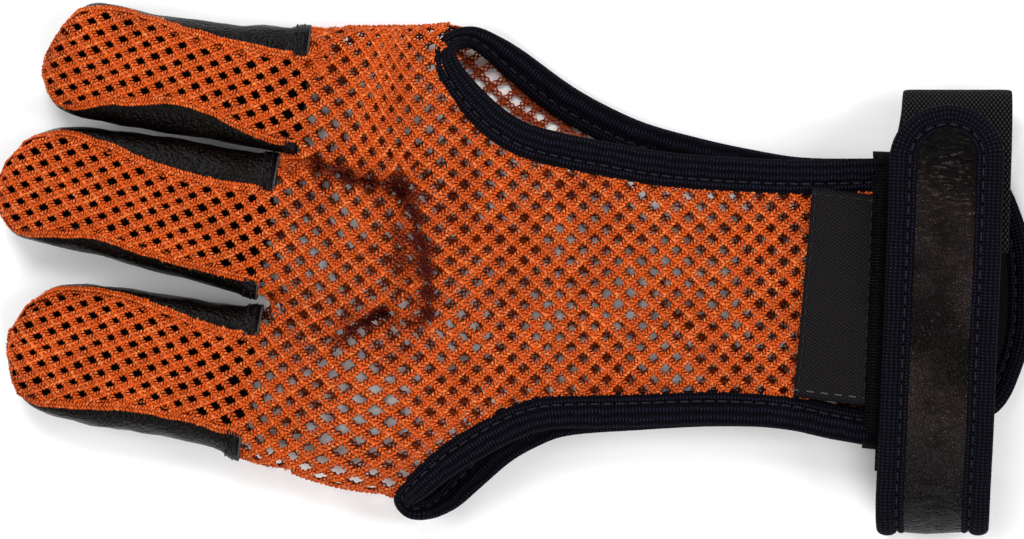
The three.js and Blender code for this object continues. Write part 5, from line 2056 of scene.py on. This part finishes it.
class GLOVE_OT_palm_pad(bpy.types.Operator):
    """Makes the bound pad under the wrist"""

    bl_idname = "glove.palm_pad"
    bl_label = "Palm pad"

    def execute(self, context):
        trim = context.scene.glove_trim
        low = WEBBING_THICKNESS + GAP
        pad_x = max(thumb_path[0, 0], little_path[0, 0]) + 2 * GAP
        reach = PAD_WIDTH - PAD_BINDING_WIDTH / 2
        half = (PAD_LENGTH - PAD_BINDING_WIDTH) / 2
        rows = PAD_EDGE + [(out, -over) for out, over in reversed(PAD_EDGE)]
        spots = [
            (pad_x + out * reach, WRIST_MIDDLE + 2 + over * half, low + BINDING_THICKNESS / 2)
            for out, over in rows
        ]
        path = spline(spots, np.linspace(0, 1, 130))
        ups = np.broadcast_to([0.0, 0, 1], path.shape)
        knit = knit_finish(tuple(trim.knit), trim.rib_pitch)
        knit.name = "Pad knit"
        sizes = (PAD_BINDING_WIDTH, BINDING_THICKNESS)
        rings = sweep_rings(path, ups, *sizes, rolls_of(np.full(len(path), -1)))
        piece = skin_mesh("knit_pad_binding", rings)
        dress(piece, "knit_binding", knit, "pad_binding")
        line, lift = section_line(path, ups, *sizes, -GROOVE[0], GROOVE[1])
        thread = thread_finish("Pad thread", tuple(trim.thread))
        rows = groove_stitches("stitches_pad", [line], [lift], thread, trim)
        dress(rows, "knit_binding", None, "pad_binding")
        outline = path[:, :2].copy()
        hub = np.array([pad_x + reach * 0.45, WRIST_MIDDLE + 2])
        tight = []
        for point in outline:
            way = point - hub
            tight.append(hub + way * (1 - 2.5 / np.linalg.norm(way)))
        tight = np.array(tight)
        layers = [
            (0.05, 0.0),
            (0.96, 0.0),
            (1.0, 0.3),
            (1.0, 0.62),
            (0.94, 0.92),
            (0.7, 1.0),
            (0.35, 1.0),
            (0.05, 1.0),
        ]
        rings = []
        for size, lift in layers:
            flat = hub + (tight - hub) * size
            rings.append([(x, y, low + PAD_THICKNESS * lift) for x, y in flat])
        pad = skin_mesh("soft_pad", np.array(rings))
        dress(pad, "webbing", twill_finish(tuple(trim.webbing), "Pad twill"), "palm_pad")
        return {"FINISHED"}


class GLOVE_OT_elastic_loop(bpy.types.Operator):
    """Makes the black webbing loop and its hidden closure"""

    bl_idname = "glove.elastic_loop"
    bl_label = "Elastic loop"

    def execute(self, context):
        trim = context.scene.glove_trim
        where = np.linspace(0, elastic_run[-1], 120)
        path = along_curve(elastic_line, elastic_run, where)
        ups = along_curve(upright(elastic_line), elastic_run, where)
        path[:, 0] = STRAP_X + ELASTIC_SHIFT + STRAP_SLANT * (path[:, 1] - WRIST_MIDDLE)
        turn = int(np.argmax(path[:, 1]))
        for point in path[turn:]:
            way = LOOP_SIDE - LOOP_TUCK_START - point[1]
            point[0] -= LOOP_TUCK * ease(way / LOOP_TUCK_LENGTH)
        rings = sweep_rings(path, ups, WEBBING_WIDTH, WEBBING_THICKNESS, profile_points(FLAT_BAND, 3))
        band = skin_mesh("webbing_loop", rings)
        dress(band, "webbing", plain_weave_finish(tuple(trim.webbing)), "elastic_band")
        ys = STRAP_TOP - 8 - np.linspace(0, HOOK_LENGTH, 12)
        path = np.array([over_crown(y, HOOK_LAYER) for y in ys])
        path[:, 0] = STRAP_X + STRAP_SLANT * (path[:, 1] - WRIST_MIDDLE)
        width = STRAP_WIDTH - 2 * STRAP_BINDING_WIDTH - 2 * GAP
        rings = sweep_rings(path, upright(path), width, HOOK_THICKNESS, profile_points(FLAT_BAND, 1))
        hook = skin_mesh("closure_pad", rings)
        dress(hook, "hook_cloth", edge_finish((0.02, 0.02, 0.022), "Closure nap"), "hook_pad")
        return {"FINISHED"}


class GLOVE_OT_strap(bpy.types.Operator):
    """Makes the leather wrist strap with its binding and stitches"""

    bl_idname = "glove.strap"
    bl_label = "Wrist strap"

    def execute(self, context):
        trim = context.scene.glove_trim
        leather = strap_finish(tuple(context.scene.glove_leather.strap))
        inner = STRAP_SIDE - STRAP_BINDING_WIDTH / 2 + 0.9
        begin = STRAP_SIDE - inner
        down = np.concatenate(
            [begin + inner * (1 - np.cos(np.linspace(0.05, math.pi / 2, 14))),
             np.linspace(STRAP_SIDE, strap_run[-1], 150)[1:]]
        )
        reach = np.sqrt(np.maximum(inner**2 - np.maximum(STRAP_SIDE - down, 0) ** 2, 0.2))
        spots, ups = strap_spots(0 * down, down)
        profile = profile_points(FLAT_BAND, 4)
        rings = sweep_rings(spots, ups, 2 * reach, STRAP_THICKNESS, profile)
        for r in range(len(rings)):
            for k in range(len(profile)):
                if profile[k, 1] < 0.3:
                    continue
                x, y, z = rings[r, k]
                edge = 1 - (abs(profile[k, 0]) * 2) ** 2
                more = 1.0 + 1.2 * math.exp(-(((y - 22) / 9) ** 2))
                fold = noise.noise(Vector((x * 0.09, y * 0.42, 2.0)))
                fine = noise.noise(Vector((x * 0.3 + y * 0.1, y * 0.9, 5.0)))
                rings[r, k] += ups[r] * edge * (0.35 + more * (0.42 * fold + 0.16 * fine))
        piece = skin_mesh("strap", rings)
        dress(piece, "strap_leather", leather, "strap_leather")
        path, lifts = strap_edge()
        knit = knit_finish(tuple(trim.knit), trim.rib_pitch)
        knit.name = "Strap knit"
        sizes = (STRAP_BINDING_WIDTH * STRAP_EDGE_WIDER, BINDING_THICKNESS)
        rings = sweep_rings(path, lifts, *sizes, rolls_of(np.full(len(path), -1)))
        binding = skin_mesh("knit_strap_binding", rings)
        dress(binding, "knit_binding", knit, "strap_binding")
        line, ups = section_line(path, lifts, *sizes, -GROOVE[0], GROOVE[1])
        thread = thread_finish("Strap thread", tuple(trim.thread))
        rows = groove_stitches("stitches_strap", [line], [ups], thread, trim)
        dress(rows, "knit_binding", None, "strap_binding")
        return {"FINISHED"}


class GLOVE_OT_stage(bpy.types.Operator):
    """Sets the pale floor, the soft lamps and the camera straight above"""

    bl_idname = "glove.stage"
    bl_label = "Stage"

    def execute(self, context):
        s = context.scene.glove_stage
        reach = 3.0
        corners = [(-reach, -reach), (reach, -reach), (reach, reach), (-reach, reach)]
        mesh = bpy.data.meshes.new("floor")
        mesh.from_pydata([(x, y, -0.0001) for x, y in corners], [], [(0, 1, 2, 3)])
        floor = bpy.data.objects.new("floor", mesh)
        context.scene.collection.objects.link(floor)
        mesh.materials.append(floor_finish(tuple(s.floor)))
        for name, spot, size, share in (
            ("upper_lamp", (-0.35, 0.95, 0.95), 0.8, 1.0),
            ("lower_lamp", (0.35, -0.95, 0.9), 0.8, 0.7),
            ("finger_lamp", (-1.1, 0.05, 0.8), 0.6, 0.55),
            ("wrist_lamp", (1.1, 0.1, 0.8), 0.6, 0.5),
        ):
            lamp = bpy.data.lights.new(name, "AREA")
            lamp.shape = "DISK"
            lamp.size = size
            lamp.energy = s.key_power * share
            holder = bpy.data.objects.new(name, lamp)
            context.scene.collection.objects.link(holder)
            holder.location = spot
            holder.rotation_euler = (-Vector(spot)).to_track_quat("-Z", "Y").to_euler()
        world = bpy.data.worlds.new("soft_sky")
        world.use_nodes = True
        sky = world.node_tree.nodes["Background"]
        sky.inputs[0].default_value = (1, 1, 1, 1)
        sky.inputs[1].default_value = s.sky
        context.scene.world = world
        context.scene.view_settings.view_transform = "Standard"
        lens = bpy.data.cameras.new("camera")
        lens.sensor_width = 36.0
        lens.lens = 36.0 * (s.camera_height - VIEW_LEVEL) / VIEW_WIDTH
        lens.clip_end = 20
        camera = bpy.data.objects.new("camera", lens)
        context.scene.collection.objects.link(camera)
        camera.location = (*VIEW_CENTRE, s.camera_height)
        context.scene.camera = camera
        return {"FINISHED"}


STEPS = (
    GLOVE_OT_back_net,
    GLOVE_OT_palm_net,
    GLOVE_OT_stalls,
    GLOVE_OT_side_bindings,
    GLOVE_OT_label,
    GLOVE_OT_wrist_webbing,
    GLOVE_OT_palm_pad,
    GLOVE_OT_elastic_loop,
    GLOVE_OT_strap,
    GLOVE_OT_stage,
)


class GLOVE_PT_panel(bpy.types.Panel):
    """Lists the pieces of the glove and their settings"""

    bl_idname = "GLOVE_PT_panel"
    bl_label = "Archery glove"
    bl_space_type = "VIEW_3D"
    bl_region_type = "UI"
    bl_category = "Glove"

    def draw(self, context):
        for name in ("glove_net", "glove_leather", "glove_trim", "glove_stage"):
            settings = getattr(context.scene, name)
            box = self.layout.box()
            for key in settings.bl_rna.properties.keys():
                if key not in ("rna_type", "name"):
                    box.prop(settings, key)
        for step in STEPS:
            self.layout.operator(step.bl_idname)


GROUPS = {
    "glove_net": NetSettings,
    "glove_leather": LeatherSettings,
    "glove_trim": TrimSettings,
    "glove_stage": StageSettings,
}


def register():
    for group in GROUPS.values():
        bpy.utils.register_class(group)
    for step in STEPS:
        bpy.utils.register_class(step)
    bpy.utils.register_class(GLOVE_PT_panel)
    for name, group in GROUPS.items():
        setattr(bpy.types.Scene, name, bpy.props.PointerProperty(type=group))


def unregister():
    for name in GROUPS:
        delattr(bpy.types.Scene, name)
    for made in (GLOVE_PT_panel, *STEPS, *GROUPS.values()):
        bpy.utils.unregister_class(made)


def main():
    register()
    bpy.ops.glove.stage()
    bpy.ops.glove.back_net()
    bpy.ops.glove.palm_net()
    bpy.ops.glove.stalls()
    bpy.ops.glove.side_bindings()
    bpy.ops.glove.label()
    bpy.ops.glove.wrist_webbing()
    bpy.ops.glove.palm_pad()
    bpy.ops.glove.elastic_loop()
    bpy.ops.glove.strap()


if __name__ == "__main__":
    main()
